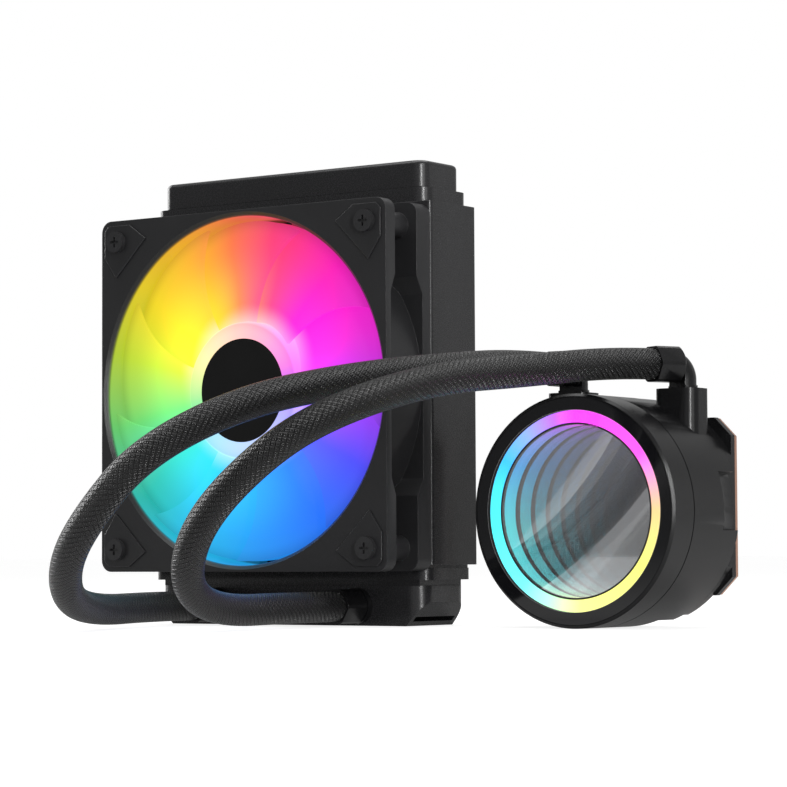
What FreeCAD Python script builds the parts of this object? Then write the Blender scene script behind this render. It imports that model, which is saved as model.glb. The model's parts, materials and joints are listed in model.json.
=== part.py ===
import FreeCAD, Part
import math
import os
import Sketcher
from FreeCAD import Placement, Rotation, Vector
from types import SimpleNamespace

# All in one liquid cooler: a 120 mm radiator with its fan, two sleeved hoses and a round pump head.
# Millimetres, X to the right, Y to the back, Z up. The origin is the middle of the foot, which is
# the flat underside of the radiator's lower tank. The pump head stands on the same level.

doc = FreeCAD.newDocument("liquid_cooler")
sheet = doc.addObject("Spreadsheet::Sheet", "Sizes")

# Driving sizes: alias, value, what it is.
DRIVING = [
    ("fan_side", 120, "side of the square fan frame"),
    ("fan_depth", 25, "depth of the fan"),
    ("fan_corner", 4, "corner radius of the frame"),
    ("screw_inset", 7.5, "fan screws from the frame's edges"),
    ("duct_margin", 2, "bore of the duct from the frame's edge"),
    ("duct_wall", 1.5, "wall of the duct between the flanges"),
    ("lip_depth", 1.4, "depth of the lead-in at the front of the duct"),
    ("lip_grow", 1.3, "how much wider the lead-in is at the front"),
    ("front_flange", 5.2, "front flange at the corners"),
    ("front_flange_thin", 2.8, "front flange along the sides"),
    ("rear_flange", 7.8, "rear flange at the corners"),
    ("rear_flange_thin", 4.5, "rear flange along the sides"),
    ("thick_from", 24.4, "from the frame's edge, where the flange is at its full thickness"),
    ("thin_to", 30.1, "from the frame's edge, where the flange is at its thin size"),
    ("post_radius", 4.2, "screw posts between the flanges"),
    ("post_hole", 2.15, "clearance hole for a fan screw"),
    ("base_margin", 1.8, "motor base of the frame stands in from the hub's outside"),
    ("base_depth", 3, "thickness of the motor base"),
    ("base_inset", 0.8, "motor base stands back from the rear face"),
    ("strut_width", 4.6, "struts that carry the motor base"),
    ("strut_offset", 9.4, "the struts pass the axis at this distance"),
    ("strut_depth", 4.6, "depth of the struts along the air flow"),
    ("strut_count", 4, "number of struts"),
    ("tube_radius", 5.2, "bearing tube of the motor base"),
    ("bearing_radius", 3.6, "outside of the bearing"),
    ("shaft_radius", 1.5, "fan shaft"),
    ("running_gap", 0.05, "radial clearance of a shaft in its bearing"),
    ("shaft_length", 16.5, "fan shaft"),
    ("hub_front", 1.6, "hub face behind the front of the frame"),
    ("hub_radius", 22.8, "outside of the hub cup"),
    ("hub_wall", 1.6, "wall of the hub cup"),
    ("hub_depth", 15, "depth of the hub cup"),
    ("hub_boss", 3.4, "boss that holds the shaft"),
    ("hub_boss_depth", 3.4, "depth of that boss behind the hub's wall"),
    ("bearing_clear", 0.4, "gap between that boss and the bearing"),
    ("tube_clear", 0.6, "gap between that boss and the bearing tube"),
    ("bearing_floor", 1, "wall behind the bearing"),
    ("cap_fit", 0.1, "clearance round the cap"),
    ("cap_margin", 5.6, "round cap on the hub stands in from its outside"),
    ("cap_depth", 0.5, "thickness of the cap"),
    ("blade_count", 9, "number of blades"),
    ("tip_gap", 0.9, "gap between the blade tips and the duct"),
    ("blade_front", 3, "front of the blades behind the front of the frame"),
    ("blade_depth", 13.4, "depth of the blades along the air flow"),
    ("blade_chord", 47, "width of a blade across the air flow at the tip"),
    ("blade_wall", 1.5, "thickness of a blade"),
    ("blade_camber", 3.2, "how far a blade curves out of its chord"),
    ("blade_taper", 0.4, "width of a blade at its root, as a share of the tip's"),
    ("blade_sweep", 0.12, "how far the tip leans to the side, as a share of its width"),
    ("yoke_wall", 1.4, "steel ring inside the hub"),
    ("magnet_wall", 1.9, "magnet ring inside the steel ring"),
    ("magnet_depth", 10.6, "depth of the magnet ring"),
    ("air_gap", 0.7, "gap between the magnet ring and the fan motor core"),
    ("core_depth", 5.4, "depth of the fan motor core"),
    ("pole_count", 4, "poles of the fan motor"),
    ("pole_width", 5, "width of a pole"),
    ("coil_width", 8.4, "width of a coil"),
    ("coil_depth", 8.4, "depth of a coil"),
    ("board_wall", 1.2, "thickness of a circuit board"),
    ("board_margin", 0.4, "the fan's board stands in from the motor base"),
    ("lamp_side", 2.6, "side of a light emitter"),
    ("lamp_depth", 0.9, "height of a light emitter"),
    ("lamp_count", 12, "emitters on the fan's board"),
    ("pad_height", 0.6, "corner pads stand proud of the frame by this much"),
    ("pad_margin", 1.7, "outer edges of a pad from the frame's edge"),
    ("pad_reach", 12.7, "where a pad's outer edge ends, from the frame's edge"),
    ("pad_short", 6.7, "inner corner of a pad, from the nearer edge of the frame"),
    ("pad_long", 19.9, "inner corner of a pad, from the other edge of the frame"),
    ("pad_corner", 1.8, "rounded outer corner of a pad"),
    ("screw_head", 3.6, "radius of a fan screw's head"),
    ("head_height", 1.8, "height of that head"),
    ("screw_radius", 1.45, "shank of a fan screw"),
    ("screw_reach", 3.4, "how far a fan screw reaches past the radiator's face"),
    ("cross_width", 0.8, "slots of the cross recess"),
    ("cross_length", 3.6, "length of those slots"),
    ("cross_depth", 1, "depth of those slots"),
    ("radiator_depth", 27, "depth of the radiator"),
    ("channel_short", 0.8, "the side channels are shorter than the fan by this much"),
    ("channel_wall", 1.2, "sheet of the side channels"),
    ("channel_flange", 14, "flanges of the side channels"),
    ("channel_bend", 1.5, "outer bend radius of the side channels"),
    ("thread_radius", 1.5, "threaded holes in the front flanges, for the fan"),
    ("rear_hole_radius", 1.9, "holes in the rear flanges, for the case"),
    ("fan_drop", 2, "the fan's lower edge is this far under the ends of the channels"),
    ("core_inset", 5.5, "the tubes stand back from the channel faces"),
    ("fin_inset", 2, "the fins stand back from the tubes' edges"),
    ("tube_count", 11, "number of flat tubes"),
    ("tube_thick", 2, "thickness of a flat tube"),
    ("tube_skin", 0.35, "wall of a flat tube"),
    ("fin_pitch", 5.2, "pitch of the folded fins"),
    ("fin_skin", 0.25, "sheet of the folded fins"),
    ("upper_pan_side", 2.4, "upper header pan stands in at its ends"),
    ("upper_pan_face", 0.3, "and at its front and back"),
    ("upper_pan_height", 4.8, "its height"),
    ("upper_pan_corner", 5, "its corner radius"),
    ("upper_tank_side", 4.4, "upper tank stands in at its ends"),
    ("upper_tank_face", 2, "and at its front and back"),
    ("upper_tank_height", 9.3, "its height"),
    ("upper_tank_corner", 4.5, "its corner radius"),
    ("upper_tank_round", 1.6, "its rounded top edge"),
    ("tank_wall", 2, "wall of the tanks"),
    ("tank_floor", 1.5, "floor of the lower tank"),
    ("lower_pan_side", 2, "lower header pan stands in at its ends"),
    ("lower_pan_height", 3.9, "its height"),
    ("lower_pan_corner", 4, "its corner radius"),
    ("lower_neck_side", 6, "neck under the lower pan stands in at its ends"),
    ("lower_neck_face", 1.5, "and at its front and back"),
    ("lower_neck_height", 1.9, "its height"),
    ("land_height", 1, "land on the lower pan that carries the channels"),
    ("land_side", 2, "the land stands in from the pan's ends"),
    ("land_face", 0.4, "and from its front and back"),
    ("lower_tank_side", 4, "lower tank stands in at its ends"),
    ("lower_tank_face", 0.2, "and at its front and back"),
    ("lower_tank_height", 13.2, "its height"),
    ("lower_tank_corner", 6, "its corner radius"),
    ("foot_cut_x", 6.5, "width of the sloping cut at the foot's ends"),
    ("foot_cut_z", 7.8, "height of that cut"),
    ("fitting_spread", 30, "hose fittings from the middle of the tank"),
    ("fitting_height", 6.5, "height of the hose fittings"),
    ("fitting_flange", 6, "round flange of a hose fitting"),
    ("fitting_flange_wall", 2.4, "thickness of that flange"),
    ("fitting_spigot", 4.4, "spigot of a fitting in the tank's wall"),
    ("barb_radius", 3.3, "nozzle of a fitting"),
    ("barb_bore", 2.3, "bore of a fitting"),
    ("collar_flats", 11.2, "hexagonal hose collars across their flats"),
    ("collar_round", 0.3, "how much is turned off a collar's corners"),
    ("collar_bevel", 0.8, "cone at the end of a collar that is away from the hose"),
    ("collar_length", 11.1, "hose collars at the tank"),
    ("elbow_collar_length", 9.6, "hose collars at the pump"),
    ("hose_diameter", 10, "sleeved hose"),
    ("pump_x", 117.4, "pump's axis to the right of the middle"),
    ("pump_front", 19.5, "pump's front face ahead of the middle of the radiator"),
    ("pump_radius", 36.7, "radius of the pump's barrel"),
    ("pump_depth", 41.2, "depth of the barrel"),
    ("rim_chamfer", 0.8, "chamfer of the front rim"),
    ("rear_chamfer", 0.4, "chamfer of the rear rim"),
    ("notch_count", 4, "notches in the rear rim, for the ears of a bracket"),
    ("notch_middle", 55.5, "angle of the first notch under the right side"),
    ("notch_width", 29.5, "angle that a notch spans"),
    ("notch_depth", 7.6, "depth of a notch from the rear rim"),
    ("notch_wall", 2.3, "a notch is this deep in the barrel's wall"),
    ("notch_step", 2.6, "ledge in front of a notch"),
    ("notch_step_wall", 1.1, "that ledge is this deep in the wall"),
    ("seam_place", 12, "seam groove behind the front rim"),
    ("seam_width", 0.5, "width of that groove"),
    ("seam_deep", 0.4, "depth of that groove"),
    ("rim_wall", 1.1, "wall of the barrel round the glass"),
    ("glass_wall", 1.5, "thickness of the front glass"),
    ("glass_gap", 0.15, "the glass sits this far inside the rim"),
    ("glass_fit", 0.1, "clearance round the glass and the inner discs"),
    ("glass_seat", 1.7, "ledge that carries the glass"),
    ("lamp_wall", 2.1, "wall of the lamp frame"),
    ("ring_width", 4.5, "width of the light ring"),
    ("ring_depth", 4.5, "depth of the light ring and of the mirror room"),
    ("mirror_wall", 1, "thickness of the rear mirror"),
    ("lamp_frame_floor", 1.3, "floor of the lamp frame"),
    ("ring_lamp_count", 16, "emitters behind the light ring"),
    ("lamp_window", 1.9, "radius of the windows in the frame's floor for them"),
    ("board_lap", 3.1, "the board that carries them reaches inside the ring by this much"),
    ("wall_place", 22, "partition between the dry and the wet room"),
    ("wall_thick", 2, "thickness of that partition"),
    ("can_radius", 7.6, "inside of the can round the rotor"),
    ("can_wall", 1.1, "wall of the can"),
    ("can_front", 12, "front of the can"),
    ("wet_radius", 24, "wet room"),
    ("coil_ring_radius", 17, "pump motor over its coils"),
    ("coil_ring_depth", 7.4, "depth of the pump motor"),
    ("coil_ring_count", 6, "coils of the pump motor"),
    ("coil_ring_width", 5.6, "width of a coil of the pump motor"),
    ("coil_sleeve", 2.4, "wall of the ring that the coils stand on"),
    ("laid_gap", 0.2, "clearance of what is laid or sunk in"),
    ("impeller_radius", 14, "impeller"),
    ("impeller_disc", 1.2, "disc of the impeller"),
    ("impeller_vane", 2.6, "height of its vanes"),
    ("impeller_vanes", 6, "number of vanes"),
    ("vane_wall", 1.2, "thickness of a vane"),
    ("vane_start", 2, "vanes start outside the bush by this much"),
    ("vane_margin", 0.6, "vanes end inside the disc's edge by this much"),
    ("vane_offset", 2.4, "vanes pass the axis at this distance"),
    ("rotor_gap", 0.6, "clearance round the rotor and under the impeller"),
    ("pin_radius", 1, "ceramic pin of the impeller"),
    ("pin_seat", 0.6, "depth of the pin's seat in the can"),
    ("bush_radius", 2.6, "bush of the impeller"),
    ("chamber_place", 29.2, "plate that closes the impeller's room"),
    ("chamber_wall", 1.6, "thickness of that plate"),
    ("chamber_eye", 1.6, "inlets round the pin in that plate"),
    ("chamber_eye_place", 4, "those inlets from the axis"),
    ("base_radius_in", 0.1, "round base plate stands in from the barrel"),
    ("base_half_x", 32, "its flats left and right"),
    ("base_half_z", 33, "its flats above and below"),
    ("base_wall", 3.2, "its thickness"),
    ("carrier_wall", 2.4, "eight-sided step behind it, which carries the copper plate"),
    ("seal_margin", 0.8, "gasket from the wet room"),
    ("seal_width", 1.6, "gasket"),
    ("seal_depth", 1.2, "gasket"),
    ("cold_half_x", 32, "copper plate, half width"),
    ("cold_half_z", 28.4, "copper plate, half height"),
    ("cold_rise", 1.6, "its middle over the pump's axis"),
    ("cold_chamfer", 5.9, "its cut corners"),
    ("cold_wall", 1.8, "its thickness"),
    ("core_hub", 7.4, "ring of the fan motor core round the tube"),
    ("shoe_width", 13, "width of a pole's shoe"),
    ("shoe_depth", 2, "depth of a pole's shoe along the radius"),
    ("fin_block", 26, "side of the block of fine fins"),
    ("fin_block_height", 3.4, "height of those fins"),
    ("fine_fin_count", 13, "number of those fins"),
    ("fine_fin_wall", 1, "thickness of those fins"),
    ("base_screw_x", 27, "screws of the copper plate"),
    ("base_screw_z", 21.6, "screws of the copper plate"),
    ("base_screw_radius", 1.25, "shank of those screws"),
    ("base_screw_head", 2.4, "head of those screws"),
    ("base_screw_rise", 1.2, "height of those heads"),
    ("base_recess", 0.9, "radius of the recess in those heads"),
    ("base_recess_depth", 0.7, "depth of that recess"),
    ("base_screw_length", 9, "length of those screws"),
    ("bracket_hole_x", 13, "threaded holes for a mounting bracket"),
    ("bracket_hole_inset", 1.5, "those holes from the base plate's upper and lower flats"),
    ("bracket_hole", 1.05, "radius of those holes"),
    ("port_x", 20.2, "ports from the pump's axis"),
    ("port_from_rear", 7.2, "ports ahead of the barrel's rear rim"),
    ("boss_width", 15, "port bosses"),
    ("boss_depth", 12.2, "port bosses"),
    ("boss_rise", 2.2, "top of the bosses over the barrel"),
    ("boss_round", 4, "rounded corners of the bosses"),
    ("boss_root", 5, "the bosses reach this far under their bores"),
    ("socket_depth", 13.3, "depth of the bore in a boss"),
    ("port_bore", 2.5, "channel from a boss to the wet room"),
    ("port_channel", 14, "length of that channel"),
    ("stem_radius", 4.7, "stem of an elbow"),
    ("elbow_bend", 4.9, "bend radius of an elbow"),
    ("elbow_rise", 7.6, "centre of an elbow's arm over its boss"),
    ("elbow_foot", 5.1, "round foot of an elbow"),
    ("elbow_foot_height", 0.7, "its height"),
    ("foot_gap", 0.3, "gap under that foot and under the stem"),
    ("collar_start", 1.8, "collar from the elbow's stem axis"),
    ("mouth_depth", 2.5, "depth of an elbow's open mouth"),
    ("seal_groove", 0.9, "depth of the seal's groove in a stem"),
    ("seal_height", 1.8, "height of that groove"),
    ("seal_rise", 4.9, "seal over the bottom of the bore"),
    ("seal_proud", 0.02, "the seal stands proud of the stem"),
    ("right_turn", 65, "direction of the right elbow, from -X towards -Y"),
    ("left_turn", 90, "direction of the left elbow, from -X towards -Y"),
]


class Size:
    """A length with its value and the formula that gives it from the sheet."""

    def __init__(self, value, formula):
        self.value = value
        self.formula = formula

    def __add__(self, other):
        return Size(self.value + number(other), f"({self.formula} + {formula(other)})")

    def __sub__(self, other):
        return Size(self.value - number(other), f"({self.formula} - {formula(other)})")

    def __mul__(self, other):
        return Size(self.value * number(other), f"({self.formula} * {formula(other)})")

    def __truediv__(self, other):
        return Size(self.value / number(other), f"({self.formula} / {formula(other)})")

    def __neg__(self):
        return Size(-self.value, f"(0 - {self.formula})")

    def __radd__(self, other):
        return Size(number(other), formula(other)) + self

    def __rsub__(self, other):
        return Size(number(other), formula(other)) - self

    def __rmul__(self, other):
        return self * other


def number(length):
    return length.value if isinstance(length, Size) else float(length)


def formula(length):
    return length.formula if isinstance(length, Size) else repr(float(length))


d = SimpleNamespace()
for row, (alias, value, note) in enumerate(DRIVING, start=1):
    sheet.set(f"A{row}", alias)
    sheet.set(f"B{row}", str(value))
    sheet.set(f"C{row}", note)
    sheet.setAlias(f"B{row}", alias)
    setattr(d, alias, Size(float(value), f"Sizes.{alias}"))
doc.recompute()

# Named places that several pieces share. Fan and pump pieces have frames of their own, with their
# origins at the middle of the fan's and of the pump's front face.
OVER = 1
NEAR = 0.01
zero = Size(0, "0")
half_side = d.fan_side / 2
half_pitch = half_side - d.screw_inset
bore_radius = half_side - d.duct_margin
blade_tip = bore_radius - d.tip_gap
base_radius = d.hub_radius - d.base_margin
cap_radius = d.hub_radius - d.cap_margin
yoke_outer = d.hub_radius - d.hub_wall
magnet_outer = yoke_outer - d.yoke_wall
core_radius = magnet_outer - d.magnet_wall - d.air_gap
tank_high = d.lower_tank_height
pan_low = tank_high + d.lower_neck_height
pan_top = pan_low + d.lower_pan_height
channel_low = pan_top + d.land_height
channel_high = channel_low + d.fan_side - d.channel_short
channel_mid = d.radiator_depth / 2
fan_height = channel_low - d.fan_drop + half_side
FAN_AT = (0, -(channel_mid + d.fan_depth), fan_height)
PUMP_AT = (d.pump_x, -d.pump_front, d.pump_radius)
CORNERS = [(tag_x + tag_z, x, z) for tag_x, x in (("l", -1), ("r", 1)) for tag_z, z in (("b", -1), ("t", 1))]
hub_back = d.hub_front + d.hub_wall
base_back = d.fan_depth - d.base_inset
base_front = base_back - d.base_depth
mirror_front = d.glass_gap + d.glass_wall + d.ring_depth
glass_radius = d.pump_radius - d.rim_wall - d.glass_fit
dry_radius = glass_radius + d.glass_fit - d.glass_seat
ring_outer = dry_radius - d.glass_fit * 2 - d.lamp_wall
ring_inner = ring_outer - d.ring_width
port_y = d.pump_depth - d.port_from_rear
boss_top = d.pump_radius + d.boss_rise
socket_bottom = boss_top - d.socket_depth
elbow_height = boss_top + d.elbow_rise
seal_place = socket_bottom + d.seal_rise
TURN = {
    "X": Rotation(Vector(0, 1, 0), 90),
    "Y": Rotation(Vector(1, 0, 0), -90),
    "Z": Rotation(),
}
nodes = {}


def bind(thing, prop, length):
    """Ties one property to its formula on the sheet."""
    if isinstance(length, Size):
        thing.setExpression(prop, length.formula)
    else:
        thing.setExpression(prop, repr(float(length)))


def place(thing, at, turn=None):
    """Sets where a thing stands, each coordinate tied to the sheet."""
    thing.Placement = Placement(Vector(*[number(value) for value in at]), turn or thing.Placement.Rotation)
    for axis, value in zip("xyz", at):
        bind(thing, f"Placement.Base.{axis}", value)


def cylinder(name, radius, start, end, along="Y", at=(0, 0, 0)):
    """A round bar between two places on its axis, beside the point at."""
    bar = doc.addObject("Part::Cylinder", name)
    bind(bar, "Radius", radius)
    bind(bar, "Height", end - start)
    spot = list(at)
    spot["XYZ".index(along)] = start
    place(bar, spot, TURN[along])
    return bar


def cone(name, first, second, start, end, along="Y"):
    """A cone between two places on an axis of its frame."""
    shape = doc.addObject("Part::Cone", name)
    bind(shape, "Radius1", first)
    bind(shape, "Radius2", second)
    bind(shape, "Height", end - start)
    spot = [0, 0, 0]
    spot["XYZ".index(along)] = start
    place(shape, spot, TURN[along])
    return shape


def block(name, x, y, z):
    """A box between a low and a high value on each axis."""
    shape = doc.addObject("Part::Box", name)
    for prop, (low, high) in zip(("Length", "Width", "Height"), (x, y, z)):
        bind(shape, prop, high - low)
    place(shape, (x[0], y[0], z[0]))
    return shape


def about(middle, width):
    """The low and high value of a width about its middle."""
    return (middle - width / 2, middle + width / 2)


def join(name, *things):
    shape = doc.addObject("Part::MultiFuse", name)
    shape.Shapes = list(things)
    shape.Refine = True
    return shape


def cut(name, base, *tools):
    shape = doc.addObject("Part::Cut", name)
    shape.Base = base
    shape.Tool = tools[0] if len(tools) == 1 else join(f"{name}_tools", *tools)
    return shape


def common(name, first, second):
    shape = doc.addObject("Part::Common", name)
    shape.Base = first
    shape.Tool = second
    return shape


def group(name, things):
    """Separate like solids in one node."""
    shape = doc.addObject("Part::Compound", name)
    shape.Links = list(things)
    return shape


def around(name, thing, count, axis=Vector(0, 1, 0), first=0.0):
    """Copies of a thing set evenly about an axis of its frame."""
    copies = []
    for index in range(count):
        copy = doc.addObject("Part::Feature", f"{name}_{index}")
        doc.recompute([thing])
        copy.Shape = thing.Shape
        turn = Rotation(axis, first + 360.0 * index / count)
        copy.Placement = Placement(Vector(), turn).multiply(thing.Placement)
        copies.append(copy)
    return copies


def start_sketch(name, plane):
    """A body with one sketch on one of its own origin planes."""
    body = doc.addObject("PartDesign::Body", f"{name}_body")
    sketch = body.newObject("Sketcher::SketchObject", f"{name}_outline")
    origin = [part for part in body.Origin.OriginFeatures if part.Role == plane][0]
    sketch.AttachmentSupport = [(origin, "")]
    sketch.MapMode = "FlatFace"
    return body, sketch


def pin_point(sketch, geometry, end, x, y):
    """Fixes one end of a line at a place given by two formulas."""
    for kind, value, axis in (("DistanceX", x, -2), ("DistanceY", y, -1)):
        if number(value) == 0 and not isinstance(value, Size):
            sketch.addConstraint(Sketcher.Constraint("PointOnObject", geometry, end, axis))
            continue
        row = sketch.addConstraint(Sketcher.Constraint(kind, -1, 1, geometry, end, number(value)))
        bind(sketch, f"Constraints[{row}]", value)


def draw(sketch, points):
    """A closed outline of straight edges, every corner tied to the sheet."""
    spots = [Vector(number(x), number(y), 0) for x, y in points]
    first = sketch.GeometryCount
    for index, spot in enumerate(spots):
        sketch.addGeometry(Part.LineSegment(spot, spots[(index + 1) % len(spots)]), False)
    for index, (x, y) in enumerate(points):
        before = first + (index - 1) % len(points)
        sketch.addConstraint(Sketcher.Constraint("Coincident", before, 2, first + index, 1))
        pin_point(sketch, first + index, 1, x, y)


def draw_rounded(sketch, width, height, radius):
    """A rectangle about the sketch's origin with four like rounded corners."""
    w, h, r = number(width) / 2, number(height) / 2, number(radius)
    ends = [(-w + r, -h, w - r, -h), (w, -h + r, w, h - r), (w - r, h, -w + r, h), (-w, h - r, -w, -h + r)]
    first = sketch.GeometryCount
    for x1, y1, x2, y2 in ends:
        sketch.addGeometry(Part.LineSegment(Vector(x1, y1, 0), Vector(x2, y2, 0)), False)
    middles = [(w - r, -h + r, -90), (w - r, h - r, 0), (-w + r, h - r, 90), (-w + r, -h + r, 180)]
    for x, y, angle in middles:
        circle = Part.Circle(Vector(x, y, 0), Vector(0, 0, 1), r)
        arc = Part.ArcOfCircle(circle, math.radians(angle), math.radians(angle + 90))
        sketch.addGeometry(arc, False)
    for index in range(4):
        line, arc, after = first + index, first + 4 + index, first + (index + 1) % 4
        sketch.addConstraint(Sketcher.Constraint("Tangent", line, 2, arc, 1))
        sketch.addConstraint(Sketcher.Constraint("Tangent", arc, 2, after, 1))
        sketch.addConstraint(Sketcher.Constraint("Horizontal" if index % 2 == 0 else "Vertical", line))
    for index in range(1, 4):
        sketch.addConstraint(Sketcher.Constraint("Equal", first + 4, first + 4 + index))
    row = sketch.addConstraint(Sketcher.Constraint("Radius", first + 4, r))
    bind(sketch, f"Constraints[{row}]", radius)
    for kind, geometry, value in (("DistanceX", first + 1, width / 2), ("DistanceY", first + 2, height / 2)):
        row = sketch.addConstraint(Sketcher.Constraint(kind, -1, 1, geometry, 1, number(value)))
        bind(sketch, f"Constraints[{row}]", value)
    for kind, geometry, value in (("DistanceX", first + 3, -width / 2), ("DistanceY", first, -height / 2)):
        row = sketch.addConstraint(Sketcher.Constraint(kind, -1, 1, geometry, 1, number(value)))
        bind(sketch, f"Constraints[{row}]", value)


def pad(body, sketch, length, reverse=False):
    feature = body.newObject("PartDesign::Pad", f"{body.Name}_pad")
    feature.Profile = sketch
    bind(feature, "Length", length)
    feature.Reversed = reverse
    doc.recompute()
    return feature


def rounded_plate(name, width, depth, corner, low, high, middle=(0, 0)):
    """A plate with rounded corners that lies flat between two heights."""
    body, sketch = start_sketch(name, "XY_Plane")
    draw_rounded(sketch, width, depth, corner)
    pad(body, sketch, high - low)
    place(body, (middle[0], middle[1], low))
    return body


def prism(name, points, start, end):
    """An outline given in X and Z, drawn from one Y to another."""
    body, sketch = start_sketch(name, "XZ_Plane")
    draw(sketch, points)
    pad(body, sketch, end - start, reverse=True)
    place(body, (0, start, 0))
    return body


def turned(name, points):
    """A profile of radius and Y, turned about the Y axis of its frame."""
    body, sketch = start_sketch(name, "XY_Plane")
    draw(sketch, points)
    feature = body.newObject("PartDesign::Revolution", f"{name}_turn")
    feature.Profile = sketch
    feature.ReferenceAxis = (sketch, ["V_Axis"])
    feature.Angle = 360
    doc.recompute()
    return body


def edges_where(shape, test):
    """Names of the edges whose middle and direction pass a test."""
    names = []
    for index, edge in enumerate(shape.Edges, start=1):
        middle = edge.valueAt((edge.FirstParameter + edge.LastParameter) / 2)
        if test(edge, middle):
            names.append(f"Edge{index}")
    return names


def finish_node(name, thing, at=None):
    """Labels a sub-part, sets it in the assembly and lists it for export."""
    thing.Label = name
    if at is not None:
        place(thing, at)
    nodes[name] = thing


def solid_node(name, shape, at=None):
    """A sub-part whose form is worked out from the sheet's values in code."""
    thing = doc.addObject("Part::Feature", f"{name}_form")
    thing.Shape = Part.makeCompound(shape.Solids)
    finish_node(name, thing, at)


# Fan frame: two square flanges joined by the duct and four screw posts. The space between the
# flanges is open outside the duct, deeper along the sides than at the corners.
def side_opening(name, across):
    """The open space between the flanges, drawn through the whole frame along one axis."""
    plane = "YZ_Plane" if across == "X" else "XY_Plane"
    body, sketch = start_sketch(name, plane)
    reach = half_side + OVER
    thick = half_side - d.thick_from
    thin = half_side - d.thin_to
    back = d.fan_depth - d.rear_flange
    back_thin = d.fan_depth - d.rear_flange_thin
    outline = [
        (d.front_flange, reach), (d.front_flange, thick), (d.front_flange_thin, thin),
        (d.front_flange_thin, -thin), (d.front_flange, -thick), (d.front_flange, -reach),
        (back, -reach), (back, -thick), (back_thin, -thin), (back_thin, thin), (back, thick), (back, reach),
    ]
    if across == "Z":
        outline = [(z, y) for y, z in outline]
    draw(sketch, outline)
    feature = pad(body, sketch, reach * 2)
    feature.Midplane = True
    return body


frame_body, frame_sketch = start_sketch("frame_blank", "XZ_Plane")
draw_rounded(frame_sketch, d.fan_side, d.fan_side, d.fan_corner)
pad(frame_body, frame_sketch, d.fan_depth, reverse=True)
open_space = join("open_space", side_opening("opening_x", "X"), side_opening("opening_z", "Z"))
kept = [cylinder("duct_outside", bore_radius + d.duct_wall, -OVER, d.fan_depth + OVER)]
holes = [cylinder("duct_inside", bore_radius, -OVER, d.fan_depth + OVER)]
holes.append(cone("duct_lip", bore_radius + d.lip_grow, bore_radius, 0, d.lip_depth))
for tag, sign_x, sign_z in CORNERS:
    spot = (half_pitch * sign_x, 0, half_pitch * sign_z)
    kept.append(cylinder(f"post_{tag}", d.post_radius, -OVER, d.fan_depth + OVER, at=spot))
    holes.append(cylinder(f"post_hole_{tag}", d.post_hole, -OVER, d.fan_depth + OVER, at=spot))
space = cut("space_outside_duct", open_space, *kept)
shell = cut("frame_shell", cut("frame_open", frame_body, space), *holes)
strut = block(
    "strut",
    about(d.strut_offset, d.strut_width),
    (base_back - d.strut_depth, base_back),
    (d.strut_offset, bore_radius + d.duct_wall / 2),
)
struts = around("strut_copy", strut, int(number(d.strut_count)))
base_disc = cylinder("motor_base", base_radius, base_front, base_back)
bearing_tube = cylinder("bearing_tube", d.tube_radius, hub_back + d.hub_boss_depth + d.tube_clear, base_back)
bearing_seat = cylinder("bearing_seat", d.bearing_radius, hub_back, base_back - d.bearing_floor)
strut_limit = cylinder("strut_limit", bore_radius + d.duct_wall / 2, 0, d.fan_depth)
board_room = cylinder("board_room", base_radius, 0, base_front)
spokes = cut("struts_clear", common("struts_in_duct", join("all_struts", *struts), strut_limit), board_room)
frame_join = join("frame_join", shell, spokes, base_disc, bearing_tube)
finish_node("fan_frame", cut("frame_whole", frame_join, bearing_seat), FAN_AT)

# Corner pads: kite-shaped plates on the front face, each with a hole for its screw.
pads = []
pad_edge = half_side - d.pad_margin
pad_far = half_side - d.pad_reach
pad_near = half_side - d.pad_short
pad_inner = half_side - d.pad_long
kite = [
    (pad_edge, pad_edge - d.pad_corner), (pad_edge - d.pad_corner, pad_edge), (pad_far, pad_edge),
    (pad_inner, pad_near), (pad_near, pad_inner), (pad_edge, pad_far),
]
for tag, sign_x, sign_z in CORNERS:
    plate = prism(f"pad_{tag}", [(x * sign_x, z * sign_z) for x, z in kite], -d.pad_height, zero)
    spot = (half_pitch * sign_x, 0, half_pitch * sign_z)
    hole = cylinder(f"pad_hole_{tag}", d.post_hole, -2 * d.pad_height, d.pad_height, at=spot)
    pads.append(cut(f"pad_cut_{tag}", plate, hole))
finish_node("fan_corner_pads", group("fan_pads", pads), FAN_AT)

# Fan screws: pan heads with a cross recess, through the pads and posts into the radiator's flanges.
screws = []
head_top = -d.pad_height - d.head_height
slot_span = (head_top, head_top + d.cross_depth)
for tag, sign_x, sign_z in CORNERS:
    spot = (half_pitch * sign_x, 0, half_pitch * sign_z)
    head = cylinder(f"head_{tag}", d.screw_head, head_top, -d.pad_height, at=spot)
    shank = cylinder(f"shank_{tag}", d.screw_radius, -d.pad_height, d.fan_depth + d.screw_reach, at=spot)
    long_x, thin_x = about(spot[0], d.cross_length), about(spot[0], d.cross_width)
    long_z, thin_z = about(spot[2], d.cross_length), about(spot[2], d.cross_width)
    slot_x = block(f"slot_x_{tag}", long_x, slot_span, thin_z)
    slot_z = block(f"slot_z_{tag}", thin_x, slot_span, long_z)
    screws.append(cut(f"screw_{tag}", join(f"screw_blank_{tag}", head, shank), slot_x, slot_z))
finish_node("fan_screws", group("fan_screw_set", screws), FAN_AT)

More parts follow.
